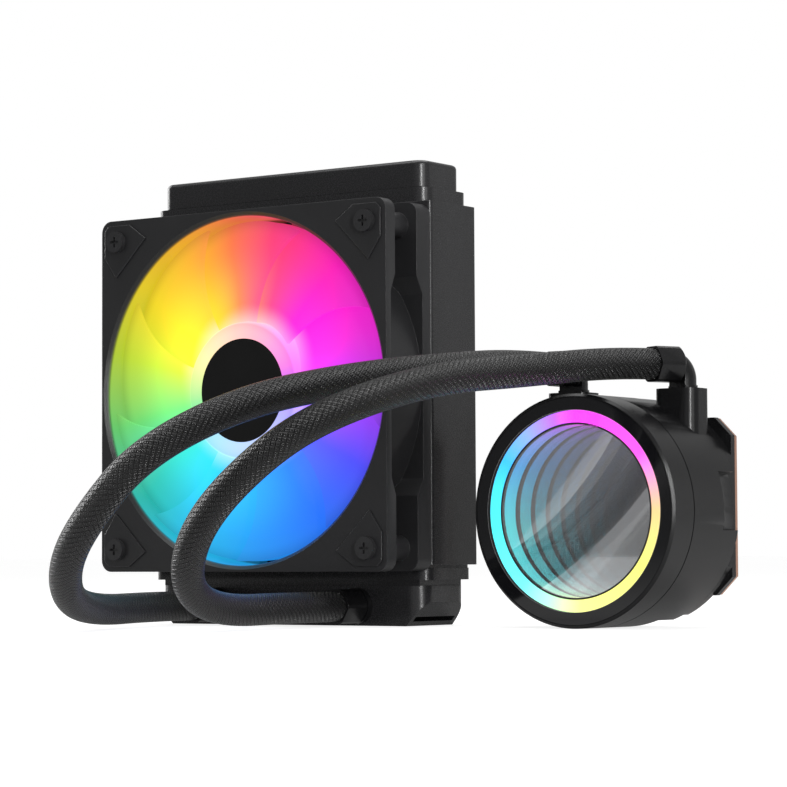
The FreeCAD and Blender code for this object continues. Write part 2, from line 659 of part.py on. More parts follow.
# Fan rotor: a cup with wide overlapping blades, moulded in one piece.
cup = turned("hub_cup", [
    (d.shaft_radius, d.hub_front + d.cap_depth), (cap_radius + d.cap_fit, d.hub_front + d.cap_depth),
    (cap_radius + d.cap_fit, d.hub_front), (d.hub_radius - d.hub_wall / 2, d.hub_front),
    (d.hub_radius, d.hub_front + d.hub_wall / 2), (d.hub_radius, d.hub_front + d.hub_depth),
    (d.hub_radius - d.hub_wall, d.hub_front + d.hub_depth), (d.hub_radius - d.hub_wall, hub_back),
    (d.hub_boss, hub_back), (d.hub_boss, hub_back + d.hub_boss_depth),
    (d.shaft_radius, hub_back + d.hub_boss_depth),
])


def blade_section(reach, chord, shift):
    """A cambered section that stands across a radius, leading edge at the front."""
    front = number(d.blade_front)
    depth = number(d.blade_depth)
    camber = number(d.blade_camber)
    wall = number(d.blade_wall)
    lead = Vector(shift - chord / 2, front, reach)
    tail = Vector(shift + chord / 2, front + depth, reach)
    along = tail - lead
    normal = Vector(-along.y, along.x, 0).normalize()
    middle = (lead + tail) * 0.5 + normal * camber
    outer = Part.Arc(lead, middle + normal * (wall / 2), tail).toShape()
    inner = Part.Arc(tail, middle - normal * (wall / 2), lead).toShape()
    return Part.Wire([outer, inner])


def blade():
    """One blade from inside the cup's wall to past the tip, wider towards the tip."""
    root = number(d.hub_radius - d.hub_wall * 2)
    tip = number(blade_tip) + 2 * OVER
    chord = number(d.blade_chord)
    taper = number(d.blade_taper)
    sections = []
    for share in (0.0, 0.5, 1.0):
        width = chord * (taper + (1 - taper) * share)
        lean = chord * number(d.blade_sweep) * share * share
        sections.append(blade_section(root + (tip - root) * share, width, -lean))
    return Part.makeLoft(sections, True, False)


blade_thing = doc.addObject("Part::Feature", "blade")
blade_thing.Shape = blade()
blades = around("blade_copy", blade_thing, int(number(d.blade_count)))
tip_limit = cylinder("tip_limit", blade_tip, 0, d.fan_depth)
root_limit = cylinder("root_limit", d.hub_radius - d.hub_wall / 2, -OVER, d.fan_depth + OVER)
blade_room = cut("blade_room", tip_limit, root_limit)
ring_of_blades = common("trimmed_blades", join("blade_ring", *blades), blade_room)
finish_node("fan_rotor", join("rotor_whole", cup, ring_of_blades), FAN_AT)
cap = cylinder("hub_cap", cap_radius, d.hub_front, d.hub_front + d.cap_depth)
finish_node("fan_hub_cap", group("cap_whole", [cap]), FAN_AT)


def ring(name, outer, inner, start, end):
    """A plain ring about the Y axis of its frame."""
    hole = cylinder(f"{name}_inner", inner, start - OVER, end + OVER)
    return cut(name, cylinder(f"{name}_outer", outer, start, end), hole)


magnet_back = hub_back + d.magnet_depth
finish_node("fan_rotor_yoke", ring("yoke", yoke_outer, magnet_outer, hub_back, magnet_back), FAN_AT)
magnet = ring("magnet", magnet_outer, magnet_outer - d.magnet_wall, hub_back, magnet_back)
finish_node("fan_magnet", magnet, FAN_AT)
shaft_front = d.hub_front + d.cap_depth
shaft = cylinder("shaft_bar", d.shaft_radius, shaft_front, shaft_front + d.shaft_length)
finish_node("fan_shaft", group("shaft_whole", [shaft]), FAN_AT)
bearing_front = hub_back + d.hub_boss_depth + d.bearing_clear
bearing_bore = d.shaft_radius + d.running_gap
bearing = ring("bearing", d.bearing_radius, bearing_bore, bearing_front, base_back - d.bearing_floor)
finish_node("fan_bearing", bearing, FAN_AT)

# Fan motor: a four-pole core on the bearing tube with a coil on each pole, and a lit board behind.
core_mid = hub_back + d.magnet_depth / 2 + d.bearing_floor
pole = block("pole", about(zero, d.pole_width), about(core_mid, d.core_depth), (d.tube_radius, core_radius))
shoe_span = (core_radius - d.shoe_depth, core_radius + OVER)
shoe = block("pole_shoe", about(zero, d.shoe_width), about(core_mid, d.core_depth), shoe_span)
pole_join = join("pole_join", pole, shoe)
poles = around("pole_copy", pole_join, int(number(d.pole_count)))
yoke_ring = cylinder("core_ring", d.core_hub, core_mid - d.core_depth / 2, core_mid + d.core_depth / 2)
core_limit = cylinder("core_limit", core_radius, 0, d.fan_depth)
core_hole = cylinder("core_hole", d.tube_radius, 0, d.fan_depth)
core_all = cut("core_cut", common("core_trim", join("core_join", yoke_ring, *poles), core_limit), core_hole)
finish_node("fan_motor_core", core_all, FAN_AT)
coil_span = (d.core_hub + d.glass_fit, core_radius - d.shoe_depth - d.glass_fit)
slot_span = (d.tube_radius, core_radius)
coil = cut(
    "coil",
    block("coil_blank", about(zero, d.coil_width), about(core_mid, d.coil_depth), coil_span),
    block("coil_slot", about(zero, d.pole_width), about(core_mid, d.core_depth), slot_span),
)
finish_node("fan_coils", group("coil_set", around("coil_copy", coil, int(number(d.pole_count)))), FAN_AT)
board_front = base_front - d.board_wall
board = ring("fan_board_disc", base_radius - d.board_margin, d.tube_radius, board_front, base_front)
lamp = block(
    "fan_lamp", about(zero, d.lamp_side), (board_front - d.lamp_depth, board_front),
    about(base_radius - d.lamp_side, d.lamp_side),
)
lamps = around("fan_lamp_copy", lamp, int(number(d.lamp_count)))
finish_node("fan_light_board", join("fan_board_join", board, *lamps), FAN_AT)

# Radiator side channels: folded sheet, web outwards, with threaded holes for both faces.
wall = d.channel_wall
for name, sign in (("side_channel_left", -1), ("side_channel_right", 1)):
    outer_x = half_side * sign
    inner_x = (half_side - d.channel_flange) * sign
    body, sketch = start_sketch(name, "XY_Plane")
    draw(sketch, [
        (outer_x, -channel_mid), (outer_x, channel_mid),
        (inner_x, channel_mid), (inner_x, channel_mid - wall),
        ((half_side - wall) * sign, channel_mid - wall), ((half_side - wall) * sign, wall - channel_mid),
        (inner_x, wall - channel_mid), (inner_x, -channel_mid),
    ])
    channel = pad(body, sketch, channel_high - channel_low)
    bends = edges_where(
        channel.Shape,
        lambda edge, middle: edge.BoundBox.ZLength > OVER
        and abs(abs(middle.x) - number(half_side)) < NEAR
        and abs(abs(middle.y) - number(channel_mid)) < NEAR,
    )
    bend = body.newObject("PartDesign::Fillet", f"{name}_bend")
    bend.Base = (channel, bends)
    bind(bend, "Radius", d.channel_bend)
    doc.recompute()
    place(body, (0, 0, channel_low))
    drills = []
    for row, height in enumerate((fan_height - half_pitch, fan_height + half_pitch)):
        spot = (half_pitch * sign, 0, height)
        hole_end = channel_mid + OVER
        drills.append(cylinder(f"{name}_front_hole_{row}", d.thread_radius, -hole_end, zero, at=spot))
        drills.append(cylinder(f"{name}_rear_hole_{row}", d.rear_hole_radius, zero, hole_end, at=spot))
    finish_node(name, cut(f"{name}_drilled", body, *drills))

# Flat tubes and folded fins of the core. The tubes run up through both header pans.
tube_low = pan_low
tube_high = channel_high + d.upper_pan_height
tube_depth = d.radiator_depth - d.core_inset * 2


def flat_tube(name, x, grow, low, high):
    """A flat tube with round front and back edges, smaller all round by grow."""
    thick = d.tube_thick - grow * 2
    depth = tube_depth - grow * 2
    front = -(depth / 2) + thick / 2
    middle = block(f"{name}_middle", about(x, thick), (front, -front), (low, high))
    first = cylinder(f"{name}_front", thick / 2, low, high, along="Z", at=(x, front, 0))
    second = cylinder(f"{name}_back", thick / 2, low, high, along="Z", at=(x, -front, 0))
    return join(name, middle, first, second)


tubes = []
tube_slots = []
tube_total = int(number(d.tube_count))
core_half = half_side - d.channel_wall
tube_pitch = (core_half * 2 + d.tube_thick) / (tube_total + 1)
tube_first = -tube_pitch * (tube_total - 1) / 2
for index in range(tube_total):
    x = tube_first + tube_pitch * index
    outside = flat_tube(f"tube_{index}", x, zero, tube_low, tube_high)
    inside = flat_tube(f"tube_bore_{index}", x, d.tube_skin, tube_low - OVER, tube_high + OVER)
    tubes.append(cut(f"tube_cut_{index}", outside, inside))
    tube_slots.append(flat_tube(f"tube_slot_{index}", x, zero, tube_low - OVER, tube_high + OVER))
finish_node("radiator_tubes", group("tube_set", tubes))


def folded_fin(left, right):
    """One strip folded to and fro between two tubes, as a zigzag drawn through the core's depth."""
    low = number(channel_low)
    high = number(channel_high)
    folds = max(2, round((high - low) / number(d.fin_pitch))) * 2
    step = (high - low) / folds
    depth = number(tube_depth - d.fin_inset * 2)
    skin = number(d.fin_skin) * math.hypot(right - left, step) / step
    near = []
    for index in range(folds + 1):
        near.append(Vector(left if index % 2 == 0 else right - skin, -depth / 2, low + step * index))
    far = [point + Vector(skin, 0, 0) for point in near]
    face = Part.Face(Part.makePolygon(near + far[::-1] + [near[0]]))
    return face.extrude(Vector(0, depth, 0))


fins = []
tube_half = d.tube_thick / 2
places = [tube_first + tube_pitch * index for index in range(tube_total)]
lefts = [number(-core_half)] + [number(x + tube_half) for x in places]
rights = [number(x - tube_half) for x in places] + [number(core_half)]
for left, right in zip(lefts, rights):
    fins.append(folded_fin(left, right))
solid_node("radiator_fins", Part.makeCompound(fins))

# Header pans and tanks. The lower tank carries both hose fittings and a partition between them.
pan_width = d.fan_side - d.upper_pan_side * 2
pan_depth = d.radiator_depth - d.upper_pan_face * 2
upper_pan = rounded_plate("upper_pan", pan_width, pan_depth, d.upper_pan_corner, channel_high, tube_high)
finish_node("upper_header_pan", cut("upper_pan_slotted", upper_pan, *tube_slots))
tank_top = tube_high + d.upper_tank_height
upper_width = d.fan_side - d.upper_tank_side * 2
upper_depth = d.radiator_depth - d.upper_tank_face * 2
tank_body = rounded_plate("upper_tank", upper_width, upper_depth, d.upper_tank_corner, tube_high, tank_top)
tank_pad = tank_body.Tip
tank_height = number(d.upper_tank_height)
top_edges = edges_where(tank_pad.Shape, lambda edge, middle: abs(middle.z - tank_height) < NEAR)
top_round = tank_body.newObject("PartDesign::Fillet", "upper_tank_edge")
top_round.Base = (tank_pad, top_edges)
bind(top_round, "Radius", d.upper_tank_round)
doc.recompute()
tank_room = block(
    "upper_tank_room",
    about(zero, upper_width - d.tank_wall * 2 - d.upper_tank_corner),
    about(zero, upper_depth - d.tank_wall * 2),
    (tube_high - OVER, tank_top - d.tank_wall),
)
finish_node("upper_tank", cut("upper_tank_hollow", tank_body, tank_room))

lower_width = d.fan_side - d.lower_pan_side * 2
plate_size = (lower_width, d.radiator_depth, d.lower_pan_corner)
lower_plate = rounded_plate("lower_plate", *plate_size, pan_low, pan_top)
land = block(
    "lower_land", about(zero, lower_width - d.land_side * 2),
    about(zero, d.radiator_depth - d.land_face * 2), (pan_top, channel_low),
)
neck_width = d.fan_side - d.lower_neck_side * 2
neck_depth = d.radiator_depth - d.lower_neck_face * 2
neck = block("lower_neck", about(zero, neck_width), about(zero, neck_depth), (tank_high, pan_low))
neck_room = block(
    "lower_neck_room", about(zero, neck_width - d.tank_wall * 2), about(zero, neck_depth - d.tank_wall * 2),
    (tank_high - OVER, pan_low),
)
pan_whole = join("lower_pan_join", lower_plate, land, cut("neck_open", neck, neck_room))
finish_node("lower_header_pan", cut("lower_pan_slotted", pan_whole, *tube_slots))

tank_half = half_side - d.lower_tank_side
tank_depth = d.radiator_depth - d.lower_tank_face * 2
lower_body = rounded_plate("lower_tank", tank_half * 2, tank_depth, d.lower_tank_corner, zero, tank_high)
foot_ends = []
for name, sign in (("foot_cut_left", -1), ("foot_cut_right", 1)):
    foot_ends.append(prism(
        name,
        [(tank_half * sign, d.foot_cut_z), ((tank_half - d.foot_cut_x) * sign, zero),
         ((tank_half - d.foot_cut_x) * sign, -d.foot_cut_z),
         ((tank_half + d.foot_cut_x) * sign, -d.foot_cut_z),
         ((tank_half + d.foot_cut_x) * sign, d.foot_cut_z)],
        -tank_depth, tank_depth,
    ))
rooms = []
for name, sign in (("tank_room_left", -1), ("tank_room_right", 1)):
    near = d.tank_wall / 2
    far = neck_width / 2 - d.tank_wall
    span = (near, far) if sign > 0 else (-far, -near)
    room_depth = about(zero, tank_depth - d.tank_wall * 2)
    rooms.append(block(name, span, room_depth, (d.tank_floor, tank_high + OVER)))
tank_front = -tank_depth / 2
wall_inside = tank_front + d.tank_wall + OVER
fitting_holes = []
for tag, sign in (("left", -1), ("right", 1)):
    spot = (d.fitting_spread * sign, 0, d.fitting_height)
    hole = cylinder(f"fitting_hole_{tag}", d.fitting_spigot, tank_front - OVER, wall_inside, at=spot)
    fitting_holes.append(hole)
foot_shape = cut("lower_tank_ends", lower_body, join("foot_ends", *foot_ends))
finish_node("lower_tank", cut("lower_tank_cut", foot_shape, *rooms, *fitting_holes))

# Hose fittings on the lower tank, with hexagonal collars over the hose ends.
collar_back = tank_front - d.fitting_flange_wall
collar_front = collar_back - d.collar_length
fittings = []
for tag, sign in (("left", -1), ("right", 1)):
    spot = (d.fitting_spread * sign, 0, d.fitting_height)
    whole = join(
        f"fitting_join_{tag}",
        cylinder(f"fitting_flange_{tag}", d.fitting_flange, collar_back, tank_front, at=spot),
        cylinder(f"fitting_spigot_{tag}", d.fitting_spigot, tank_front, tank_front + d.tank_wall, at=spot),
        cylinder(f"fitting_nozzle_{tag}", d.barb_radius, collar_front, collar_back, at=spot),
    )
    bore = cylinder(f"fitting_bore_{tag}", d.barb_bore, collar_front - OVER, wall_inside, at=spot)
    fittings.append(cut(f"fitting_{tag}", whole, bore))
finish_node("tank_fittings", group("fitting_set", fittings))


def hexagon_ring(length):
    """A hexagonal collar along -Y from the origin, flat side up, its rear end turned to a cone."""
    corner = number(d.collar_flats) / math.sqrt(3)
    bevel = number(d.collar_bevel)
    points = []
    for index in range(7):
        angle = math.radians(60 * index)
        points.append(Vector(corner * math.cos(angle), 0, corner * math.sin(angle)))
    bar = Part.Face(Part.makePolygon(points)).extrude(Vector(0, -length, 0))
    wide = corner - number(d.collar_round)
    forward = Vector(0, -1, 0)
    blank = Part.makeCone(wide - bevel, wide, bevel, Vector(), forward)
    blank = blank.fuse(Part.makeCylinder(wide, length - bevel, forward * bevel, forward))
    bore_bar = Part.makeCylinder(number(d.barb_radius), length, Vector(), forward)
    return bar.common(blank).cut(bore_bar).removeSplitter()


collars = []
for sign in (-1, 1):
    form = hexagon_ring(number(d.collar_length))
    form.translate(Vector(number(d.fitting_spread) * sign, number(collar_back), number(d.fitting_height)))
    collars.append(form)
solid_node("tank_hose_collars", Part.makeCompound(collars))

# Pump barrel: a turned shell with a dry room in front, a wet room behind and a can round the rotor.
wall_back = d.wall_place + d.wall_thick
seam_back = d.seam_place + d.seam_width
glass_back = d.glass_gap + d.glass_wall
can_outside = d.can_radius + d.can_wall
can_inside = d.can_front + d.can_wall
barrel = turned("barrel", [
    (0, d.can_front), (can_outside, d.can_front), (can_outside, d.wall_place),
    (dry_radius, d.wall_place), (dry_radius, glass_back),
    (glass_radius + d.glass_fit, glass_back), (glass_radius + d.glass_fit, zero),
    (d.pump_radius - d.rim_chamfer, zero), (d.pump_radius, d.rim_chamfer), (d.pump_radius, d.seam_place),
    (d.pump_radius - d.seam_deep, d.seam_place), (d.pump_radius - d.seam_deep, seam_back),
    (d.pump_radius, seam_back),
    (d.pump_radius, d.pump_depth - d.rear_chamfer), (d.pump_radius - d.rear_chamfer, d.pump_depth),
    (d.wet_radius, d.pump_depth), (d.wet_radius, wall_back), (d.can_radius, wall_back),
    (d.can_radius, can_inside), (0, can_inside),
])


def rim_notch(name, deep, start, end):
    """One notch in the rear rim: a piece of a ring between two angles, under the right side."""
    slice_of = doc.addObject("Part::Cylinder", f"{name}_slice")
    bind(slice_of, "Radius", d.pump_radius + OVER)
    bind(slice_of, "Height", end - start)
    bind(slice_of, "Angle", d.notch_width)
    turn = Rotation(Vector(0, 1, 0), number(d.notch_middle + d.notch_width / 2)).multiply(TURN["Y"])
    place(slice_of, (0, start, 0), turn)
    return cut(name, slice_of, cylinder(f"{name}_floor", d.pump_radius - deep, start - OVER, end + OVER))


notch_front = d.pump_depth - d.notch_depth
deep_notch = rim_notch("notch", d.notch_wall, notch_front, d.pump_depth + OVER)
ledge = rim_notch("notch_ledge", d.notch_step_wall, notch_front - d.notch_step, notch_front + OVER)
notches = around("notch_copy", join("notch_whole", deep_notch, ledge), int(number(d.notch_count)))
notched = cut("barrel_notched", barrel, *notches)

# Port bosses on the barrel's rear half, and their bores.
bosses = []
channels = []
for tag, sign in (("left", -1), ("right", 1)):
    spot = (d.port_x * sign, port_y, 0)
    low = socket_bottom - d.boss_root
    bosses.append(rounded_plate(f"boss_{tag}", d.boss_width, d.boss_depth, d.boss_round, low, boss_top, spot))
    socket_radius = d.stem_radius + d.running_gap
    socket_span = (socket_bottom, boss_top + OVER)
    channels.append(cylinder(f"socket_{tag}", socket_radius, *socket_span, along="Z", at=spot))
    channel_span = (socket_bottom - d.port_channel, socket_bottom + OVER)
    channels.append(cylinder(f"channel_{tag}", d.port_bore, *channel_span, along="Z", at=spot))
wet_limit = cylinder("wet_limit", d.wet_radius + OVER, 0, d.pump_depth + OVER)
outer_bosses = cut("bosses_outside", join("boss_join", *bosses), wet_limit)
housing_join = join("housing_join", notched, outer_bosses)
pilot = []
for tag, sign_x, sign_z in CORNERS:
    spot = (d.base_screw_x * sign_x, 0, d.base_screw_z * sign_z)
    pilot_front = d.pump_depth - d.base_screw_length
    pilot.append(cylinder(f"pilot_{tag}", d.base_screw_radius, pilot_front, d.pump_depth + OVER, at=spot))
pin_seat = cylinder("pin_seat", d.pin_radius, can_inside - d.pin_seat, can_inside + OVER)
finish_node("pump_housing", cut("housing_cut", housing_join, *channels, *pilot, pin_seat), PUMP_AT)

# Lamp unit behind the glass: light ring, mirror, black frame and its board.
glass = cylinder("glass", glass_radius, d.glass_gap, glass_back)
finish_node("front_glass", group("glass_whole", [glass]), PUMP_AT)
mirror_back = mirror_front + d.mirror_wall
floor_back = mirror_back + d.lamp_frame_floor
finish_node("light_ring", ring("lit_ring", ring_outer, ring_inner, glass_back, mirror_back), PUMP_AT)
mirror = cylinder("mirror_disc", ring_inner - d.glass_fit, mirror_front, mirror_back)
finish_node("rear_mirror", group("mirror_whole", [mirror]), PUMP_AT)
lamp_cup = turned("lamp_cup", [
    (ring_outer + d.glass_fit, glass_back), (dry_radius - d.glass_fit, glass_back),
    (dry_radius - d.glass_fit, floor_back), (d.can_radius, floor_back), (d.can_radius, mirror_back),
    (ring_outer + d.glass_fit, mirror_back),
])
lamp_radius = (ring_outer + ring_inner) / 2
window = cylinder("window", d.lamp_window, mirror_back - OVER, floor_back + OVER, at=(0, 0, lamp_radius))
windows = around("window_copy", window, int(number(d.ring_lamp_count)))
finish_node("lamp_frame", cut("lamp_frame_cut", lamp_cup, *windows), PUMP_AT)
lamp_board = ring("ring_board", ring_outer, ring_inner - d.board_lap, floor_back, floor_back + d.board_wall)
emitter = cylinder("emitter", d.lamp_side / 2, floor_back - d.lamp_depth, floor_back, at=(0, 0, lamp_radius))
emitters = around("emitter_copy", emitter, int(number(d.ring_lamp_count)))
finish_node("ring_light_board", join("ring_board_join", lamp_board, *emitters), PUMP_AT)

# Pump motor: coils round the can, with the control board in front of them.
coil_back = d.wall_place - d.laid_gap
coil_front = coil_back - d.coil_ring_depth
stator = ring("coil_core", can_outside + d.coil_sleeve, can_outside, coil_front, d.wall_place)
lump_span = (can_outside + OVER, d.coil_ring_radius)
lump = block("coil_lump", about(zero, d.coil_ring_width), (coil_front, coil_back), lump_span)
lumps = around("coil_lump_copy", lump, int(number(d.coil_ring_count)))
finish_node("pump_motor", join("stator_join", stator, *lumps), PUMP_AT)
board_outer = dry_radius - d.laid_gap
board_bore = can_outside + d.laid_gap
pump_board = ring("control_board", board_outer, board_bore, coil_front - d.board_wall, coil_front)
finish_node("pump_board", pump_board, PUMP_AT)

# Impeller: a magnet drum in the can, a disc and six vanes, on a fixed ceramic pin.
drum_front = can_inside + d.rotor_gap
disc_front = wall_back + d.rotor_gap
disc_back = disc_front + d.impeller_disc
drum = cylinder("drum", d.can_radius - d.rotor_gap, drum_front, disc_front + d.impeller_disc / 2)
disc = cylinder("impeller_plate", d.impeller_radius, disc_front, disc_back)
vane_span = (d.bush_radius + d.vane_start, d.impeller_radius - d.vane_margin)
vane_depth = (disc_back, disc_back + d.impeller_vane)
vane = block("vane", about(d.vane_offset, d.vane_wall), vane_depth, vane_span)
vanes = around("vane_copy", vane, int(number(d.impeller_vanes)))
impeller_join = join("impeller_join", drum, disc, *vanes)
bush_hole = cylinder("bush_hole", d.bush_radius, 0, d.pump_depth)
finish_node("impeller", cut("impeller_cut", impeller_join, bush_hole), PUMP_AT)
bush = ring("bush", d.bush_radius, d.pin_radius + d.running_gap, drum_front, disc_back)
finish_node("impeller_bush", bush, PUMP_AT)
pin = cylinder("pin", d.pin_radius, can_inside - d.pin_seat, d.chamber_place)
finish_node("impeller_pin", group("pin_whole", [pin]), PUMP_AT)
chamber_back = d.chamber_place + d.chamber_wall
eye_at = (0, 0, d.chamber_eye_place)
eye = cylinder("eye", d.chamber_eye, d.chamber_place - OVER, chamber_back + OVER, at=eye_at)
eyes = around("eye_copy", eye, 4)
septum_span = (d.fin_block / 2, d.wet_radius - d.laid_gap)
septum = block("septum", about(zero, d.chamber_wall), (chamber_back, d.pump_depth - OVER), septum_span)
plate_disc = cylinder("chamber_disc", d.wet_radius, d.chamber_place, chamber_back)
finish_node("chamber_plate", cut("chamber_cut", join("chamber_join", plate_disc, septum), *eyes), PUMP_AT)

# Base of the pump: a round plate with four flats and an eight-sided step, the gasket in its groove,
# the copper plate with its fine fins, and the screws that hold it.
def eight_sides(name, inset, start, end):
    """The outline of the copper plate, smaller all round by inset."""
    x = d.cold_half_x - inset
    high = d.cold_rise + d.cold_half_z - inset
    low = d.cold_rise - d.cold_half_z + inset
    corner = d.cold_chamfer
    outline = [
        (x - corner, high), (corner - x, high), (-x, high - corner), (-x, low + corner),
        (corner - x, low), (x - corner, low), (x, low + corner), (x, high - corner),
    ]
    return prism(name, outline, start, end)


plate_back = d.pump_depth + d.base_wall
base_end = plate_back + d.carrier_wall
base_round = cylinder("base_round", d.pump_radius - d.base_radius_in, d.pump_depth, plate_back)
base_square = block(
    "base_square", about(zero, d.base_half_x * 2), (d.pump_depth, plate_back), about(zero, d.base_half_z * 2),
)
carrier = eight_sides("carrier", zero, plate_back, base_end)
base_blank = join("base_blank", common("base_flats", base_round, base_square), carrier)
seal_inner = d.wet_radius + d.seal_margin
seal_outer = seal_inner + d.seal_width
seal_front = base_end - d.seal_depth
groove = ring("seal_groove_ring", seal_outer, seal_inner, seal_front, base_end + OVER)
base_holes = [cylinder("base_room", d.wet_radius, d.pump_depth - OVER, base_end + OVER)]
bracket_z = d.base_half_z - d.bracket_hole_inset
for tag, sign_x, sign_z in CORNERS:
    spot = (d.base_screw_x * sign_x, 0, d.base_screw_z * sign_z)
    hole = cylinder(f"base_hole_{tag}", d.base_screw_radius, d.pump_depth - OVER, base_end + OVER, at=spot)
    base_holes.append(hole)
    spot = (d.bracket_hole_x * sign_x, 0, bracket_z * sign_z)
    hole = cylinder(f"bracket_hole_{tag}", d.bracket_hole, d.pump_depth - OVER, plate_back + OVER, at=spot)
    base_holes.append(hole)
finish_node("pump_base", cut("base_cut", base_blank, groove, *base_holes), PUMP_AT)
finish_node("base_gasket", ring("gasket", seal_outer, seal_inner, seal_front, base_end), PUMP_AT)
cold_end = base_end + d.cold_wall
copper = eight_sides("copper_blank", d.laid_gap, base_end, cold_end)
fine_fins = []
fin_total = int(number(d.fine_fin_count))
fin_step = (d.fin_block - d.fine_fin_wall) / (fin_total - 1)
fin_depth = (base_end - d.fin_block_height, base_end)
fin_length = about(zero, d.fin_block)
for index in range(fin_total):
    x = -d.fin_block / 2 + d.fine_fin_wall / 2 + fin_step * index
    fine_fins.append(block(f"fine_fin_{index}", about(x, d.fine_fin_wall), fin_depth, fin_length))
copper_holes = []
base_screws = []
sink_front = cold_end - d.base_screw_rise
for tag, sign_x, sign_z in CORNERS:
    spot = (d.base_screw_x * sign_x, 0, d.base_screw_z * sign_z)
    shank_front = d.pump_depth - d.base_screw_length + OVER
    sink_radius = d.base_screw_head + d.laid_gap
    sink = cylinder(f"copper_sink_{tag}", sink_radius, sink_front, cold_end + OVER, at=spot)
    hole = cylinder(f"copper_hole_{tag}", d.base_screw_radius, base_end - OVER, cold_end + OVER, at=spot)
    copper_holes += [sink, hole]
    shank = cylinder(f"base_shank_{tag}", d.base_screw_radius, shank_front, sink_front, at=spot)
    head_end = cold_end - d.laid_gap
    head = cylinder(f"base_head_{tag}", d.base_screw_head, sink_front, head_end, at=spot)
    recess_span = (head_end - d.base_recess_depth, cold_end + OVER)
    recess = cylinder(f"base_recess_{tag}", d.base_recess, *recess_span, at=spot)
    base_screws.append(cut(f"base_screw_{tag}", join(f"base_screw_join_{tag}", shank, head), recess))
finish_node("cold_plate", cut("copper_cut", join("copper_join", copper, *fine_fins), *copper_holes), PUMP_AT)
finish_node("base_screws", group("base_screw_set", base_screws), PUMP_AT)


# Swivel elbows: a stem that turns in its boss, a tight bend, and an arm that carries the hose.
def elbow(turn):
    """An elbow about its own stem axis at the origin, its arm turned from -X towards -Y."""
    bottom = number(socket_bottom + d.foot_gap)
    bend = number(d.elbow_bend)
    height = number(elbow_height)
    reach = number(d.collar_start)
    stem = number(d.stem_radius)
    half_turn = math.radians(45)
    corner = Vector(-bend + bend * math.sin(half_turn), 0, height - bend + bend * math.cos(half_turn))
    up = Part.LineSegment(Vector(0, 0, bottom), Vector(0, 0, height - bend)).toShape()
    arc = Part.Arc(Vector(0, 0, height - bend), corner, Vector(-bend, 0, height)).toShape()
    spine = Part.Wire([up, arc])
    disc_wire = Part.Wire(Part.makeCircle(stem, Vector(0, 0, bottom), Vector(0, 0, 1)))
    bar = spine.makePipeShell([disc_wire], True, True)
    nozzle_end = reach + number(d.elbow_collar_length)
    nozzle_start = Vector(-reach, 0, height)
    nozzle = Part.makeCylinder(number(d.barb_radius), nozzle_end - reach, nozzle_start, Vector(-1, 0, 0))
    foot_at = Vector(0, 0, number(boss_top + d.foot_gap))
    foot = Part.makeCylinder(number(d.elbow_foot), number(d.elbow_foot_height), foot_at)
    collar_room = Part.makeCylinder(number(d.collar_flats), nozzle_end, nozzle_start, Vector(-1, 0, 0))
    body = bar.fuse(foot).cut(collar_room).fuse(nozzle)
    low = Vector(0, 0, number(seal_place))
    tall = number(d.seal_height)
    groove_core = Part.makeCylinder(stem - number(d.seal_groove), tall, low)
    groove_ring = Part.makeCylinder(stem + OVER, tall, low).cut(groove_core)
    mouth_at = Vector(-nozzle_end, 0, height)
    mouth = Part.makeCylinder(number(d.barb_bore), number(d.mouth_depth), mouth_at, Vector(1, 0, 0))
    body = body.cut(groove_ring).cut(mouth).removeSplitter()
    body.rotate(Vector(), Vector(0, 0, 1), turn)
    return body


def elbow_seal():
    """A rubber ring that fills the stem's groove and stands a little proud of it."""
    low = Vector(0, 0, number(seal_place))
    tall = number(d.seal_height)
    core = Part.makeCylinder(number(d.stem_radius - d.seal_groove), tall, low)
    return Part.makeCylinder(number(d.stem_radius + d.seal_proud), tall, low).cut(core)


def elbow_collar(turn):
    """The collar over the hose's end, its cone against the elbow."""
    form = hexagon_ring(number(d.elbow_collar_length))
    form.rotate(Vector(), Vector(0, 0, 1), -90)
    form.translate(Vector(-number(d.collar_start), 0, number(elbow_height)))
    form.rotate(Vector(), Vector(0, 0, 1), turn)
    return form


for side, sign, turn in (("left", -1, d.left_turn), ("right", 1, d.right_turn)):
    stem_at = (d.pump_x + d.port_x * sign, port_y - d.pump_front, d.pump_radius)
    solid_node(f"elbow_{side}", elbow(number(turn)), stem_at)
    solid_node(f"elbow_seal_{side}", elbow_seal(), stem_at)
    solid_node(f"elbow_collar_{side}", elbow_collar(number(turn)), stem_at)

# Hoses: control points of each route from the tank's collar to the elbow's collar. The end points
# and the points next to them follow the fittings.
BEND_SHARE = 0.45
VOLUME_TOLERANCE = 0.01
arm = number(d.collar_start + d.elbow_collar_length)
RIGHT_ROUTE = [
    (31, -90, 6), (40, -116, 15), (58, -130, 34), (81, -125, 55), (97, -110, 67), (109, -79, 76),
    (115, -46, 79),
]
LEFT_ROUTE = [
    (-18, -89, 6), (2, -125, 10), (17, -143, 21), (32, -150, 34), (51, -148, 53), (73, -129, 68),
    (91, -98, 75.5), (101, -60, 80),
]
RIGHT_ENDS = (21.8, 16.8)
LEFT_ENDS = (21.9, 23.6)


def hose_points(sign, turn, middle, ends):
    """The whole route: straight out of the tank's collar, the free points, straight into the elbow's."""
    first_run, last_run = ends
    start = Vector(number(d.fitting_spread) * sign, number(collar_front), number(d.fitting_height))
    way = Vector(-math.cos(math.radians(turn)), -math.sin(math.radians(turn)), 0)
    stem = Vector(number(d.pump_x) + number(d.port_x) * sign, number(port_y) - number(d.pump_front), 0)
    end = stem + way * arm + Vector(0, 0, number(d.pump_radius + elbow_height))
    free = [Vector(*point) for point in middle]
    return [start, start + Vector(0, -first_run, 0), *free, end + way * last_run, end]


